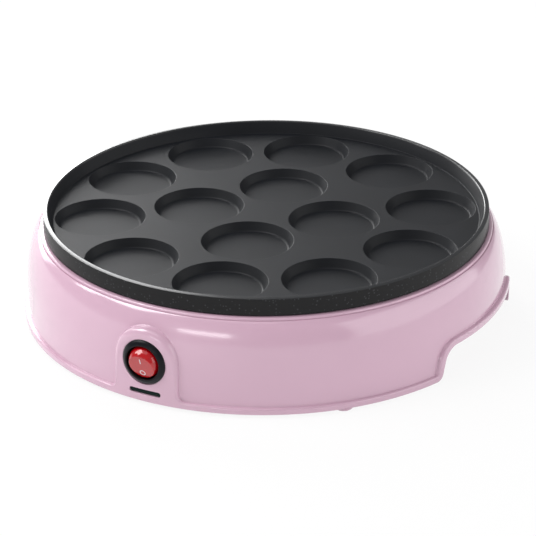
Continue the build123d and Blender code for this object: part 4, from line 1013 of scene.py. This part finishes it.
@dataclass
class Housing:
    """The pink shell: one closed skin with the foot band, grip surrounds and switch boss raised on it.

    shoulder is its width and rise, and slot the indicator's width and height. boss_rise is how far
    above the band and below the arch's top the boss's edge changes its rounding. cut_reach and hollow
    are distances to the front between which the openings and the hollow are cut. stem_hole is a
    radius and two heights. row_counts are the rows round the foot, up the band's face, round its
    edge, in the crease, up the wall and down the inside, and cut_columns are the points round the
    switch's, the cord's and the feet's holes.
    """

    band_height: float = 3.5
    band_radius: float = 127.1
    wall_top_z: float = 18.6
    skirt_radius: float = 125.3
    crest_radius: float = 115.3
    shoulder: Pair = (9.5, 29.2)
    wall: float = 2.5
    groove_radius: float = 117.7
    groove_floor_z: float = 46.355
    lip_radius: float = 117.2
    lip_top_z: float = 48.2
    opening_radius: float = 113.0
    rim_roundings: tuple[float, ...] = (0.12, 0.9, 0.4, 0.3)
    boss_radius: float = 17.3
    flare: float = 3.5
    boss_window: float = 34.0
    boss_counts: tuple[int, ...] = (10, 9, 12, 30)
    boss_rise: Pair = (1.0, 4.0)
    grip_window: float = 62.0
    grip_flat: float = 52.0
    grip_shift: float = 4.0
    grip_foot: float = 50.506
    grip_flare: float = 4.1
    grip_slant_deg: float = 13.95
    grip_corner: float = 37.044
    grip_rounding: float = 8.0
    grip_top_z: float = 17.6
    grip_counts: tuple[int, ...] = (8, 10, 7, 16, 26)
    foot_rounding: float = 0.7
    crease: float = 0.35
    band_rounding: float = 1.1
    boss_rounding: float = 3.2
    turn_weight: float = 25.0
    plain_step: float = 1.25
    seat_radius: float = 12.0
    barrel_hole: float = 10.0
    cut_reach: Pair = (120.4, 132.0)
    slot: Pair = (17.3, 2.7)
    cord_hole: float = 6.1
    cord_cut_y: float = 118.0
    cord_pad: Profile = ((6.1, 122.0, 0), (10.0, 122.0, 0), (10.0, 126.2, 0.5), (6.1, 126.2, 0.2))
    stem_hole: tuple[float, ...] = (2.4, -2.0, 6.8)
    hollow: Pair = (112.0, 124.4)
    hollow_low_z: float = 5.3
    wall_points: tuple[int, int] = (60, 400)
    foot_shares: tuple[float, ...] = (0.0, 0.08, 0.5)
    row_counts: tuple[int, ...] = (5, 19, 9, 5, 35, 15)
    cut_columns: tuple[int, ...] = (128, 96, 32)
    posts: tuple[Post, ...] = (
        Post(102.0, (-59.5, 12.5, 84.5, 156.5, 228.5), ((5.7, 22.2, 0.3), (5.7, 29.2, 0.3)), 4.1, 25.1, 2.1,
             (107.3, 122.9, 22.2, 29.2)),
        Post(110.3, (50, 130, -130, -50), ((4.5, 5.0, 0.3), (4.5, 19.0, 0.3)), 1.55, 17.0,
             rib=(114.5, 123.6, 5.0, 19.0)),
        Post(LAYOUT.foot_ring, LAYOUT.foot_angles,
             ((4.4, 1.55, 0.2), (4.4, 4.6, 0.3), (2.9, 5.0, 0), (2.9, 8.5, 0.3)), 2.4, 6.8, columns=40),
    )

    def wall_profile(self, inset: float, high_radius: float) -> np.ndarray:
        """Dense profile of the wall from the skirt up over the shoulder.

        The wall is straight from the skirt to the shoulder's foot. The shoulder is a quarter ellipse:
        radius = crest + (width - inset) cos a, height = foot + (rise - inset) sin a.

        Args:
            inset: Distance inward from the outside, 0 for the outside itself.
            high_radius: Radius where the profile ends.

        Returns:
            (n, 2) array of radius and height.
        """
        width, rise = (size - inset for size in self.shoulder)
        straight, curved = self.wall_points
        angle = np.linspace(0.0, math.acos((high_radius - self.crest_radius) / width), curved)
        curve = np.stack([self.crest_radius + width * np.cos(angle),
                          self.wall_top_z + rise * np.sin(angle)], axis=-1)
        foot = np.array([self.skirt_radius - inset, LAYOUT.skirt_z])
        share = np.linspace(0.0, 1.0, straight, endpoint=False)[:, None]
        return np.concatenate([foot + share * (curve[0] - foot), curve])

    def measured(self, profile: np.ndarray) -> np.ndarray:
        """Running measure along a profile: its length plus a weight times the angle it has turned.

        Args:
            profile: (n, 2) array of radius and height.

        Returns:
            The measure at each of its points.
        """
        steps = np.diff(profile, axis=0)
        heading = np.unwrap(np.arctan2(steps[:, 1], steps[:, 0]))
        turned = np.abs(np.diff(heading, prepend=heading[:1]))
        return np.concatenate([[0.0], np.cumsum(np.linalg.norm(steps, axis=1) + self.turn_weight * turned)])

    def boss_columns(self) -> Columns:
        """Lays the edge line round the switch boss and spreads the bottom edge evenly under it.

        Returns:
            The columns of the window at the front.
        """
        reach, low, side = self.boss_radius + self.flare, LAYOUT.skirt_z + self.band_height, self.boss_radius
        bend_z, z, counts = low + self.flare, LAYOUT.switch_z, self.boss_counts
        edge = Outline.joined([
            Outline.run((-self.boss_window, low), (-reach, low), (0, 1), counts[0]),
            Outline.arc((-reach, bend_z), self.flare, (-90, 0), True, counts[1]),
            Outline.run((-side, bend_z), (-side, z), (-1, 0), counts[2]),
            Outline.arc((0, z), side, (180, 90), False, counts[3]),
        ]).mirrored_on((0, z + side))
        along, foot_p = edge.length(), edge.place[:, 0].copy()
        first, last = np.searchsorted(foot_p, [-reach - 1e-6, reach - 1e-6])
        share = (along[first:last] - along[first]) / (along[last] - along[first])
        foot_p[first:last] = -reach + share * 2 * reach
        foot = Outline(np.stack([foot_p, np.full_like(foot_p, LAYOUT.skirt_z)], axis=-1),
                       np.tile([0.0, 1.0], (len(foot_p), 1)))
        rise = ramp(edge.place[:, 1], low + self.boss_rise[0], z + side - self.boss_rise[1])
        return self.window(0.0, foot, edge, (self.boss_window, reach),
                           self.band_rounding + rise * (self.boss_rounding - self.band_rounding))

    def grip_columns(self, centre: float, shift: float) -> Columns:
        """Lays the bottom edge round a hand grip: a flare, a slanting side, a round corner and the top.

        Args:
            centre: Angle of the window's middle from the front, in degrees.
            shift: Sideways place of the grip's middle in the window.

        Returns:
            The window's columns.
        """
        low, top, slant, counts = LAYOUT.skirt_z, self.grip_top_z, self.grip_slant_deg, self.grip_counts
        lean = np.array([math.cos(math.radians(slant)), -math.sin(math.radians(slant))])
        bend, corner = (-self.grip_foot, low + self.grip_flare), (-self.grip_corner, top - self.grip_rounding)
        flare, turn = self.grip_flare, self.grip_rounding
        foot = Outline.joined([
            Outline.run((-self.grip_window, low), (bend[0], low), (0, 1), counts[0]),
            Outline.arc(bend, flare, (-90, -slant), True, counts[1]),
            Outline.run(bend + flare * lean, corner - turn * lean, -lean, counts[2]),
            Outline.arc(corner, turn, (180 - slant, 90), False, counts[3]),
            Outline.run((corner[0], top), (0, top), (0, 1), counts[4]),
        ]).mirrored_on((0, top))
        lines = [Outline(foot.off(height) + (shift, 0.0), foot.across) for height in (0.0, self.band_height)]
        return self.window(centre, *lines, (self.grip_window, self.grip_flat),
                           np.full(len(foot.place), self.band_rounding), shift)

    def window(self, centre: float, foot: Outline, edge: Outline, reach: Pair, rounding: np.ndarray,
               shift: float = 0.0) -> Columns:
        """Makes the columns of one window, whose tops spread evenly by distance along its edge line.

        Args:
            centre: Angle of the window's middle from the front, in degrees.
            foot: Its bottom edge.
            edge: Its band's upper edge.
            reach: Half its width, and half the width of the middle in which depth runs square to it.
            rounding: Rounding of the band's edge in each column.
            shift: Sideways place of the feature in it.

        Returns:
            The window's columns.
        """
        along, middle, (half, flat) = edge.length(), math.radians(centre), reach
        low, high = (math.asin((side * half + shift) / self.band_radius) for side in (-1, 1))
        top = middle + low + (high - low) * along / along[-1]
        square = 1.0 - ramp(np.abs(foot.place[:, 0] - shift), flat, half)
        return Columns(np.full(len(top), middle), foot, edge, top, square, rounding)

    def plain_columns(self, start: float, end: float) -> Columns:
        """Makes the columns between two windows, at even steps.

        Args:
            start: Angle of the first window's end, itself left out.
            end: Angle of the next window's start, itself left out.

        Returns:
            The columns.
        """
        count = max(int(round((end - start) * self.band_radius / self.plain_step)), 2)
        angle = np.linspace(start, end, count + 1)[1:-1]
        zero, up = np.zeros_like(angle), np.tile([0.0, 1.0], (len(angle), 1))
        foot = Outline(np.stack([zero, zero + LAYOUT.skirt_z], axis=-1), up)
        edge = Outline(foot.off(self.band_height), up)
        return Columns(angle, foot, edge, angle, zero, zero + self.band_rounding)

    def columns(self) -> Columns:
        """Joins the three windows and the plain wall between them.

        Returns:
            All columns, once round.
        """
        windows = [self.boss_columns(), self.grip_columns(90.0, self.grip_shift),
                   self.grip_columns(270.0, -self.grip_shift)]
        ends = [window.top[0] for window in windows[1:]] + [windows[0].top[0] + TURN]
        return Columns.joined([part for window, end in zip(windows, ends)
                               for part in (window, self.plain_columns(window.top[-1], end))])

    def swept(self, profile: np.ndarray, low: np.ndarray, top: np.ndarray,
              shares: np.ndarray) -> list[np.ndarray]:
        """Rows between a low row and the end of a wall profile, evenly spread by the running measure.

        Args:
            profile: (n, 2) array of radius and height.
            low: Points of the low row.
            top: Angle of each column at the profile's end.
            shares: Place of each row, 0 at the low row and 1 at the end.

        Returns:
            The rows' points.
        """
        measure = self.measured(profile)
        angle = np.unwrap(np.arctan2(low[:, 0], -low[:, 1]))
        angle += TURN * np.round((top - angle) / TURN)
        start = np.interp(low[:, 2], profile[:, 1], measure)
        rows = []
        for share in shares:
            here = start + share * (measure[-1] - start)
            radius, z = (np.interp(here, measure, profile[:, axis]) for axis in (0, 1))
            rows.append(around(radius, angle + share * (top - angle), z))
        return rows

    def skin(self) -> np.ndarray:
        """The whole closed skin as a grid of rows by columns.

        Rows run from the inner bottom edge across the foot, round it, up the band's face, round the
        band's edge and into the crease, up the wall and over the shoulder, through the groove, over the
        lip and down the inside. A point at (p, z) and radius r stands at the angle
        centre + asin(p / band) + square (asin(p / r) - asin(p / band)).

        Returns:
            An array of points, (rows, columns, 3), in millimetres.
        """
        columns = self.columns()
        foot, edge, top, turn = columns.foot, columns.edge, columns.top, columns.rounding
        outer = self.wall_profile(0.0, self.groove_radius)
        inner = self.wall_profile(self.wall, self.crest_radius + self.wall)
        band = np.full(len(top), self.band_radius)

        def put(place: np.ndarray, radius: np.ndarray) -> np.ndarray:
            """Points at (p, z) places and radii."""
            flat, deep = (np.arcsin(np.clip(place[:, 0] / reach, -1, 1))
                          for reach in (self.band_radius, radius))
            return around(radius, columns.centre + flat + columns.square * (deep - flat), place[:, 1])

        def radius_at(profile: np.ndarray, place: np.ndarray) -> np.ndarray:
            """The profile's radius at the places' heights."""
            return np.interp(place[:, 1], profile[:, 1], profile[:, 0])

        inside = radius_at(inner, foot.place)
        bend_rows, face_rows, edge_rows, crease_rows, wall_rows, inner_rows = self.row_counts
        rows = [put(foot.place, inside + t * (band - self.foot_rounding - inside)) for t in self.foot_shares]
        for angle in np.linspace(0.0, QUARTER, bend_rows):
            rows.append(put(foot.off(self.foot_rounding * (1 - math.cos(angle))),
                            band - self.foot_rounding * (1 - math.sin(angle))))
        low, high = foot.off(self.foot_rounding), edge.off(-turn)
        rows += [put(low + t * (high - low), band) for t in np.linspace(0, 1, face_rows)[1:-1]]
        for angle in np.linspace(0.0, QUARTER, edge_rows):
            rows.append(put(edge.off(-turn * (1 - math.sin(angle))), band - turn * (1 - math.cos(angle))))
        start = edge.off(self.crease)
        wall_there, wall_after = radius_at(outer, edge.place), radius_at(outer, start)
        crease_top = wall_there + self.crease
        rows.append(put(edge.place, (band - turn + crease_top) / 2))
        for t in np.linspace(0.0, 1.0, crease_rows):
            a, b, c = (1 - t) ** 2, 2 * t * (1 - t), t * t
            rows.append(put(edge.place * (a + b) + start * c, crease_top * a + wall_there * b + wall_after * c))
        rows += self.swept(outer, rows[-1], top, np.linspace(0.0, 1.0, wall_rows)[1:])
        groove, lip, mouth, under = self.rim_roundings
        rim = rounded([
            (self.groove_radius, outer[-1, 1], 0.0), (self.groove_radius, self.groove_floor_z, groove),
            (self.lip_radius, self.groove_floor_z, groove), (self.lip_radius, self.lip_top_z, lip),
            (self.opening_radius, self.lip_top_z, mouth), (self.opening_radius, inner[-1, 1], under),
            (inner[-1, 0], inner[-1, 1], 0.0),
        ], steps=5)[1:]
        rows += [around(radius, top, z) for radius, z in rim]
        rows += self.swept(inner, rows[0], top, np.linspace(1.0, 0.0, inner_rows)[1:-1])
        return np.stack(rows)

    def cutters(self) -> tuple[Draft, Draft]:
        """Makes the forms that are cut from the skin.

        Returns:
            The openings from outside, and the hollow behind the boss.
        """
        front, hollow = Draft("front_cutter"), Draft("hollow_cutter")
        (deep, far), seat, z = self.cut_reach, -LAYOUT.seat_y, LAYOUT.switch_z
        switch_columns, cord_columns, stem_columns = self.cut_columns
        front.turned(np.array([(0, deep), (self.barrel_hole, deep), (self.barrel_hole, seat),
                               (self.seat_radius, seat), (self.seat_radius, far), (0, far)], float),
                     Axis((0.0, 0.0, z), (0.0, -1.0, 0.0)), switch_columns)
        ahead = Axis(up=(0.0, -1.0, 0.0))
        straight, half = (self.slot[0] - self.slot[1]) / 2, self.slot[1] / 2
        angle = np.linspace(-QUARTER, QUARTER, 17)
        right = np.stack([straight + half * np.cos(angle), LAYOUT.indicator_z + half * np.sin(angle)], axis=-1)
        outline = np.concatenate([right, right[::-1] * (-1, 1)])
        front.loft(outline, (0.0, 1.0, 1.0, 0.0), (far, far, deep, deep), ahead)
        behind = Axis((0.0, 0.0, LAYOUT.cord_z), (0.0, 1.0, 0.0))
        front.rod(self.cord_hole, self.cord_cut_y, far, behind, cord_columns)
        for degrees in LAYOUT.foot_angles:
            front.rod(*self.stem_hole, Axis.on_ring(LAYOUT.foot_ring, degrees), stem_columns)
        reach, (back, wall) = self.boss_radius - self.wall, self.hollow
        angle = np.linspace(0, math.pi, 49)
        arch = np.stack([reach * np.cos(angle), z + reach * np.sin(angle)], axis=-1)
        outline = np.concatenate([[(-reach, self.hollow_low_z), (reach, self.hollow_low_z)], arch])
        hollow.loft(outline, (0.0, 1.0, 1.0, 0.0), (wall, wall, back, back), ahead)
        return front, hollow

    def build(self, wardrobe: Wardrobe) -> None:
        """Makes the shell, and in a piece of their own the pad round the cord hole and the inner posts.

        Args:
            wardrobe: The materials.
        """
        shell, posts = Draft("housing_shell"), Draft("housing_posts")
        shell.grid(self.skin(), close_rows=True, close_columns=True)
        shell.make(wardrobe, Finish.PINK, APPLIANCE, "base_housing", cutters=self.cutters())
        behind = Axis((0.0, 0.0, LAYOUT.cord_z), (0.0, 1.0, 0.0))
        posts.turned(rounded(self.cord_pad, closed=True), behind, self.cut_columns[1])
        for post in self.posts:
            post.add(posts)
        posts.make(wardrobe, Finish.PINK, APPLIANCE)


@dataclass
class Plate:
    """The cast plate: rim, tray, wells, outer wall and the cups under the wells.

    outside runs from under the rim's outer edge to the middle of the underside, well from the tray's
    floor to the well's middle, and cup the same way below it. Corners are (radius, height, rounding).
    """

    rim_z: float = 57.5
    tray_z: float = 51.0
    outer_radius: float = 115.0
    land_radius: float = 112.6
    tray_radius: float = 110.2
    tray_rounding: float = 0.5
    flat_radius: float = 109.7
    peak: float = -0.6
    inner_fall: float = 0.3
    outer_fall: float = 0.36
    outside: Profile = ((115.06, 56.69, 0.3), (115.4, 48.55, 0.45), (112.0, 48.55, 0.3), (112.0, 44.0, 0.3),
                        (109.6, 44.0, 0.3), (109.6, 48.0, 0.4), (108.6, 48.0, 0))
    well: Profile = ((23.75, 51.0, 0), (23.4, 51.0, 0.4), (20.8, 46.4, 1.6), (16.64, 46.4, 0), (8.32, 46.4, 0),
                     (0, 46.4, 0))
    cup: Profile = ((22.55, 48.0, 0), (22.3, 48.0, 0.15), (22.3, 43.6, 0.8), (11.15, 43.6, 0), (0, 43.6, 0))
    rings: tuple[tuple[float, int], ...] = ((85.8, 10), (36.2, 4))
    pattern: float = -77.5
    columns: int = 384
    well_columns: int = 96
    sharp_deg: float = 50.0

    def rim_profile(self) -> np.ndarray:
        """Profile from the tray's edge over the crowned rim, down the wall and round the spigot.

        Along the rim, s runs from -1 at its inner edge to 1 at its outer edge. From its highest place,
        the peak, it falls inward by inner_fall u^2 and outward by outer_fall u^1.4, where u runs from 0
        at the peak to 1 at either edge.

        Returns:
            (n, 2) array of radius and height.
        """
        inner_z, outer_z = self.rim_z - self.inner_fall, self.rim_z - self.outer_fall
        before = rounded([(self.flat_radius, self.tray_z, 0),
                          (self.tray_radius, self.tray_z, self.tray_rounding),
                          (self.land_radius, inner_z, 0)], steps=8)
        s = np.linspace(-1.0, 1.0, 21)
        inward, outward = (np.clip(way * (self.peak - s), 0.0, None) / (1 + way * self.peak) for way in (1, -1))
        fall = self.inner_fall * inward**2 + self.outer_fall * outward**1.4
        width = (self.outer_radius - self.land_radius) / 2
        land = np.stack([self.land_radius + width * (1 + s), self.rim_z - fall], axis=-1)
        after = rounded([(self.outer_radius, outer_z, 0), *self.outside])
        return np.concatenate([before[:-1], land, after[1:]])

    def build(self, wardrobe: Wardrobe) -> None:
        """Makes the plate as one piece. Each ring's wells stand at even angles from the pattern's angle.

        Args:
            wardrobe: The materials.
        """
        draft = Draft("cast_plate")
        draft.turned(self.rim_profile(), Axis(), self.columns)
        stands = [Axis.on_ring(radius, self.pattern + number * 360.0 / count)
                  for radius, count in self.rings for number in range(count)]
        for profile, outer in ((self.well, self.flat_radius), (self.cup, self.outside[-1][0])):
            holes = [(*stand.base[:2], profile[0][0]) for stand in stands]
            draft.flat(profile[0][1], outer, holes, (self.columns, self.well_columns))
        for stand in stands:
            draft.turned(rounded(self.well, steps=8), stand, self.well_columns)
            draft.turned(rounded(self.cup, steps=4), stand, self.well_columns)
        draft.make(wardrobe, Finish.COATING, APPLIANCE, "baking_plate", self.sharp_deg)


@dataclass
class RockerSwitch:
    """The round switch: bezel with its barrel, the ball-shaped button and its two printed marks.

    The bezel's corners are (radius, height above the seat, rounding), and the pins' are the same
    about the pivot's own axis. stem is a radius and two heights, and ring the printed ring's inner
    and outer radius. columns are the points round the bezel, the button, a pin, the stem and the ring.
    """

    bezel: Profile = ((8.8, -15.0, 0), (8.8, 1.9, 0.35), (9.55, 2.0, 0.5), (10.8, 1.25, 2.6), (11.7, 0.35, 0.5),
                      (11.7, 0.02, 0.1), (9.9, 0.02, 0), (9.9, -15.0, 0.3))
    tilt_deg: float = 18.0
    pivot_depth: float = 2.2
    pin: Profile = ((0, 8.1, 0), (1.2, 8.1, 0.1), (1.2, 9.6, 0.2), (0, 9.6, 0))
    stem: tuple[float, ...] = (2.6, -0.5, 3.9)
    ball: float = 8.5
    back_depth: float = 1.5
    face: float = 5.2
    face_wall: float = 1.4
    hollow: float = 7.1
    edge_rounding: float = 0.45
    mark_place: float = 3.7
    mark_sunk: float = -0.08
    mark_rise: float = 0.12
    mark_rounding: float = 0.06
    ring: Pair = (1.1, 1.6)
    stroke: float = 0.5
    stroke_half: float = 1.5
    stroke_sizes: tuple[float, ...] = (0.0, 1.0, 1.0, 0.88, 0.0)
    stroke_edge: float = 0.04
    ball_points: tuple[int, int] = (40, 24)
    rim_points: int = 5
    face_shares: tuple[float, ...] = (0.63, 0.3, 0.0)
    columns: tuple[int, ...] = (160, 144, 32, 48, 64)

    def axis(self, height: float = 0.0, up_face: float = 0.0) -> Axis:
        """The button's own axis, which points out of its flat face.

        Args:
            height: Distance of its base from the pivot, out of the face.
            up_face: Distance of its base from the pivot, up the face.

        Returns:
            The axis.
        """
        cos, sin = math.cos(math.radians(self.tilt_deg)), math.sin(math.radians(self.tilt_deg))
        y, z = LAYOUT.seat_y + self.pivot_depth, LAYOUT.switch_z
        base = (0.0, y - height * cos - up_face * sin, z - height * sin + up_face * cos)
        return Axis(base, (0.0, -cos, -sin))

    def ball_profile(self) -> np.ndarray:
        """Profile of the hollow button: ball to flat face with a rounded rim, then the inside back again.

        Returns:
            (n, 2) array of radius and height.
        """
        face_radius, back = math.sqrt(self.ball**2 - self.face**2), -self.back_depth
        ends = math.asin(back / self.ball), math.atan2(self.face, face_radius)
        turn = np.linspace(*ends, self.ball_points[0])[:-self.rim_points]
        outside = np.stack([self.ball * np.cos(turn), self.ball * np.sin(turn)], axis=-1)
        rim = rounded([(*outside[-1], 0), (face_radius, self.face, self.edge_rounding),
                       *((face_radius * share, self.face, 0) for share in self.face_shares)], steps=8)
        inner_face = self.face - self.face_wall
        ends = math.acos(inner_face / self.hollow), QUARTER - math.asin(back / self.hollow)
        turn = np.linspace(*ends, self.ball_points[1])
        inside = np.stack([self.hollow * np.sin(turn), self.hollow * np.cos(turn)], axis=-1)
        return np.concatenate([outside[:-1], rim, [(0, inner_face)], inside, outside[:1]])

    def marks(self) -> Draft:
        """Makes a raised ring near the bottom of the face and a stroke near its top.

        Returns:
            The marks in the making.
        """
        (narrow, wide), sunk, rise, turn = self.ring, self.mark_sunk, self.mark_rise, self.mark_rounding
        draft = Draft("button_marks")
        draft.turned(rounded([(narrow, sunk, 0), (wide, sunk, 0), (wide, rise, turn), (narrow, rise, turn)],
                             closed=True, steps=2), self.axis(self.face, -self.mark_place), self.columns[-1])
        half = self.stroke / 2
        angle = np.linspace(0, math.pi, 9)
        cap = np.stack([half * np.cos(angle), self.stroke_half - half + half * np.sin(angle)], axis=-1)
        levels = (sunk, sunk, rise - self.stroke_edge, rise, rise)
        place = self.axis(self.face, self.mark_place)
        draft.loft(np.concatenate([cap, -cap]), self.stroke_sizes, levels, place)
        return draft

    def build(self, wardrobe: Wardrobe) -> None:
        """Makes the bezel, the button with its two pins and its stem, and the marks.

        Args:
            wardrobe: The materials.
        """
        bezel, button = Draft("switch_frame"), Draft("switch_button")
        bezel_columns, ball_columns, pin_columns, stem_columns = self.columns[:4]
        seat = Axis((0.0, LAYOUT.seat_y, LAYOUT.switch_z), (0.0, -1.0, 0.0))
        bezel.turned(rounded(self.bezel, closed=True, steps=7), seat, bezel_columns)
        bezel.make(wardrobe, Finish.BEZEL, APPLIANCE, "switch_bezel")
        button.turned(self.ball_profile(), self.axis(), ball_columns)
        for sign in (1.0, -1.0):
            pivot = Axis(self.axis().base, (sign, 0.0, 0.0), (0.0, 0.0, 1.0))
            button.turned(rounded(self.pin, steps=3), pivot, pin_columns)
        button.rod(*self.stem, self.axis(), stem_columns)
        button.make(wardrobe, Finish.ROCKER_RED, ROCKER, "rocker")
        self.marks().make(wardrobe, Finish.MARK, ROCKER, "rocker_marks")


@dataclass
class Indicator:
    """The dark bar under the switch: a lens with rounded ends and a crowned front.

    From back to front, inset is how far a section is drawn in from the outline, and depth is the
    share of the way from back_y to front_y where it lies.
    """

    width: float = 17.1
    height: float = 2.5
    front_y: float = -126.6
    back_y: float = -124.0
    inset: tuple[float, ...] = (1.25, 0.0, 0.0, 0.1, 0.3, 0.6, 0.9, 1.25)
    depth: tuple[float, ...] = (0.0, 0.0, 0.72, 0.88, 0.96, 0.985, 1.0, 1.0)
    flange_z: Pair = (5.4, 9.45)
    flange_reach: float = 9.85
    flange_depth: float = 1.2
    end_points: int = 17

    def build(self, wardrobe: Wardrobe) -> None:
        """Makes the lens and the flange behind it. A section's point is outline - inset times normal.

        Args:
            wardrobe: The materials.
        """
        half, count = self.height / 2, self.end_points
        angle = np.linspace(-QUARTER, QUARTER, count)
        spoke = np.stack([np.cos(angle), np.sin(angle)], axis=-1)
        right = np.array([(self.width - self.height) / 2, 0.0]) + half * spoke
        outline, normal = np.concatenate([right, -right]), np.concatenate([spoke, -spoke])
        section = outline - np.array(self.inset)[:, None, None] * normal
        y = self.back_y + np.array(self.depth)[:, None] * (self.front_y - self.back_y) + 0 * section[..., 0]
        points = np.stack([section[..., 0], y, LAYOUT.indicator_z + section[..., 1]], axis=-1)
        draft = Draft("indicator_bar")
        draft.grid(points, close_columns=True)
        for ring in (points[0], points[-1]):
            draft.grid(np.stack([ring[:count], ring[:count - 1:-1]]))
        (low, high), reach, back = self.flange_z, self.flange_reach, self.back_y
        draft.block((-reach, back, low), (reach, back + self.flange_depth, high))
        draft.make(wardrobe, Finish.LENS, APPLIANCE, "indicator_lens")


@dataclass
class Feet:
    """Four pads with rounded soles and stems up into the skirt. Corners are (radius, height, rounding)."""

    profile: Profile = ((0, 0.12, 0), (2.0, 0.12, 0.1), (2.3, 0, 0.2), (4.8, 0, 0.9), (4.8, 1.5, 0.25),
                        (2.35, 1.5, 0), (2.35, 6.5, 0.3), (0, 6.5, 0))
    places: tuple[tuple[str, float], ...] = (("front_right", -45), ("front_left", -135), ("rear_left", 135),
                                             ("rear_right", 45))
    columns: int = 56

    def build(self, wardrobe: Wardrobe) -> None:
        """Makes each foot, named for its corner.

        Args:
            wardrobe: The materials.
        """
        for name, degrees in self.places:
            draft = Draft(f"pad_{name}")
            draft.turned(rounded(self.profile), Axis.on_ring(LAYOUT.foot_ring, degrees), self.columns)
            draft.make(wardrobe, Finish.PINK, APPLIANCE, f"foot_{name}")


@dataclass
class CordBush:
    """The rubber bush of the inlet at the rear, with a groove round its mouth.

    The profile's corners are (radius, distance behind the centre, rounding).
    """

    profile: Profile = ((3.4, 114.6, 0.2), (3.4, 128.6, 0.5), (4.6, 128.6, 0.3), (5.0, 128.15, 0.2),
                        (5.4, 128.5, 0.3), (7.5, 127.3, 0.6), (7.5, 126.22, 0.15), (6.0, 126.22, 0),
                        (6.0, 121.9, 0), (6.9, 121.9, 0.3), (6.9, 119.9, 0.3), (5.0, 114.6, 0.3))
    columns: int = 96

    def build(self, wardrobe: Wardrobe) -> None:
        """Makes the bush as one turned form about the inlet's axis.

        Args:
            wardrobe: The materials.
        """
        draft = Draft("inlet_bush")
        behind = Axis((0.0, 0.0, LAYOUT.cord_z), (0.0, 1.0, 0.0))
        draft.turned(rounded(self.profile, closed=True, steps=5), behind, self.columns)
        draft.make(wardrobe, Finish.RUBBER, APPLIANCE, "cord_bush")


def save_sizes() -> None:
    """Updates the view layer so that every piece stands where it was placed."""
    bpy.context.view_layer.update()


def main() -> None:
    """Builds the stage and every piece in order."""
    logging.basicConfig(level=logging.INFO, format="%(name)s: %(message)s")
    Studio().build()
    wardrobe = Wardrobe(Effects())
    wardrobe.dress_nodes()
    LOG.info("dressed %d nodes", len(frame["nodes"]))
    for piece in (Housing(), Plate(), RockerSwitch(), Indicator(), Feet(), CordBush()):
        piece.build(wardrobe)
    save_sizes()


if __name__ == "__main__":
    main()
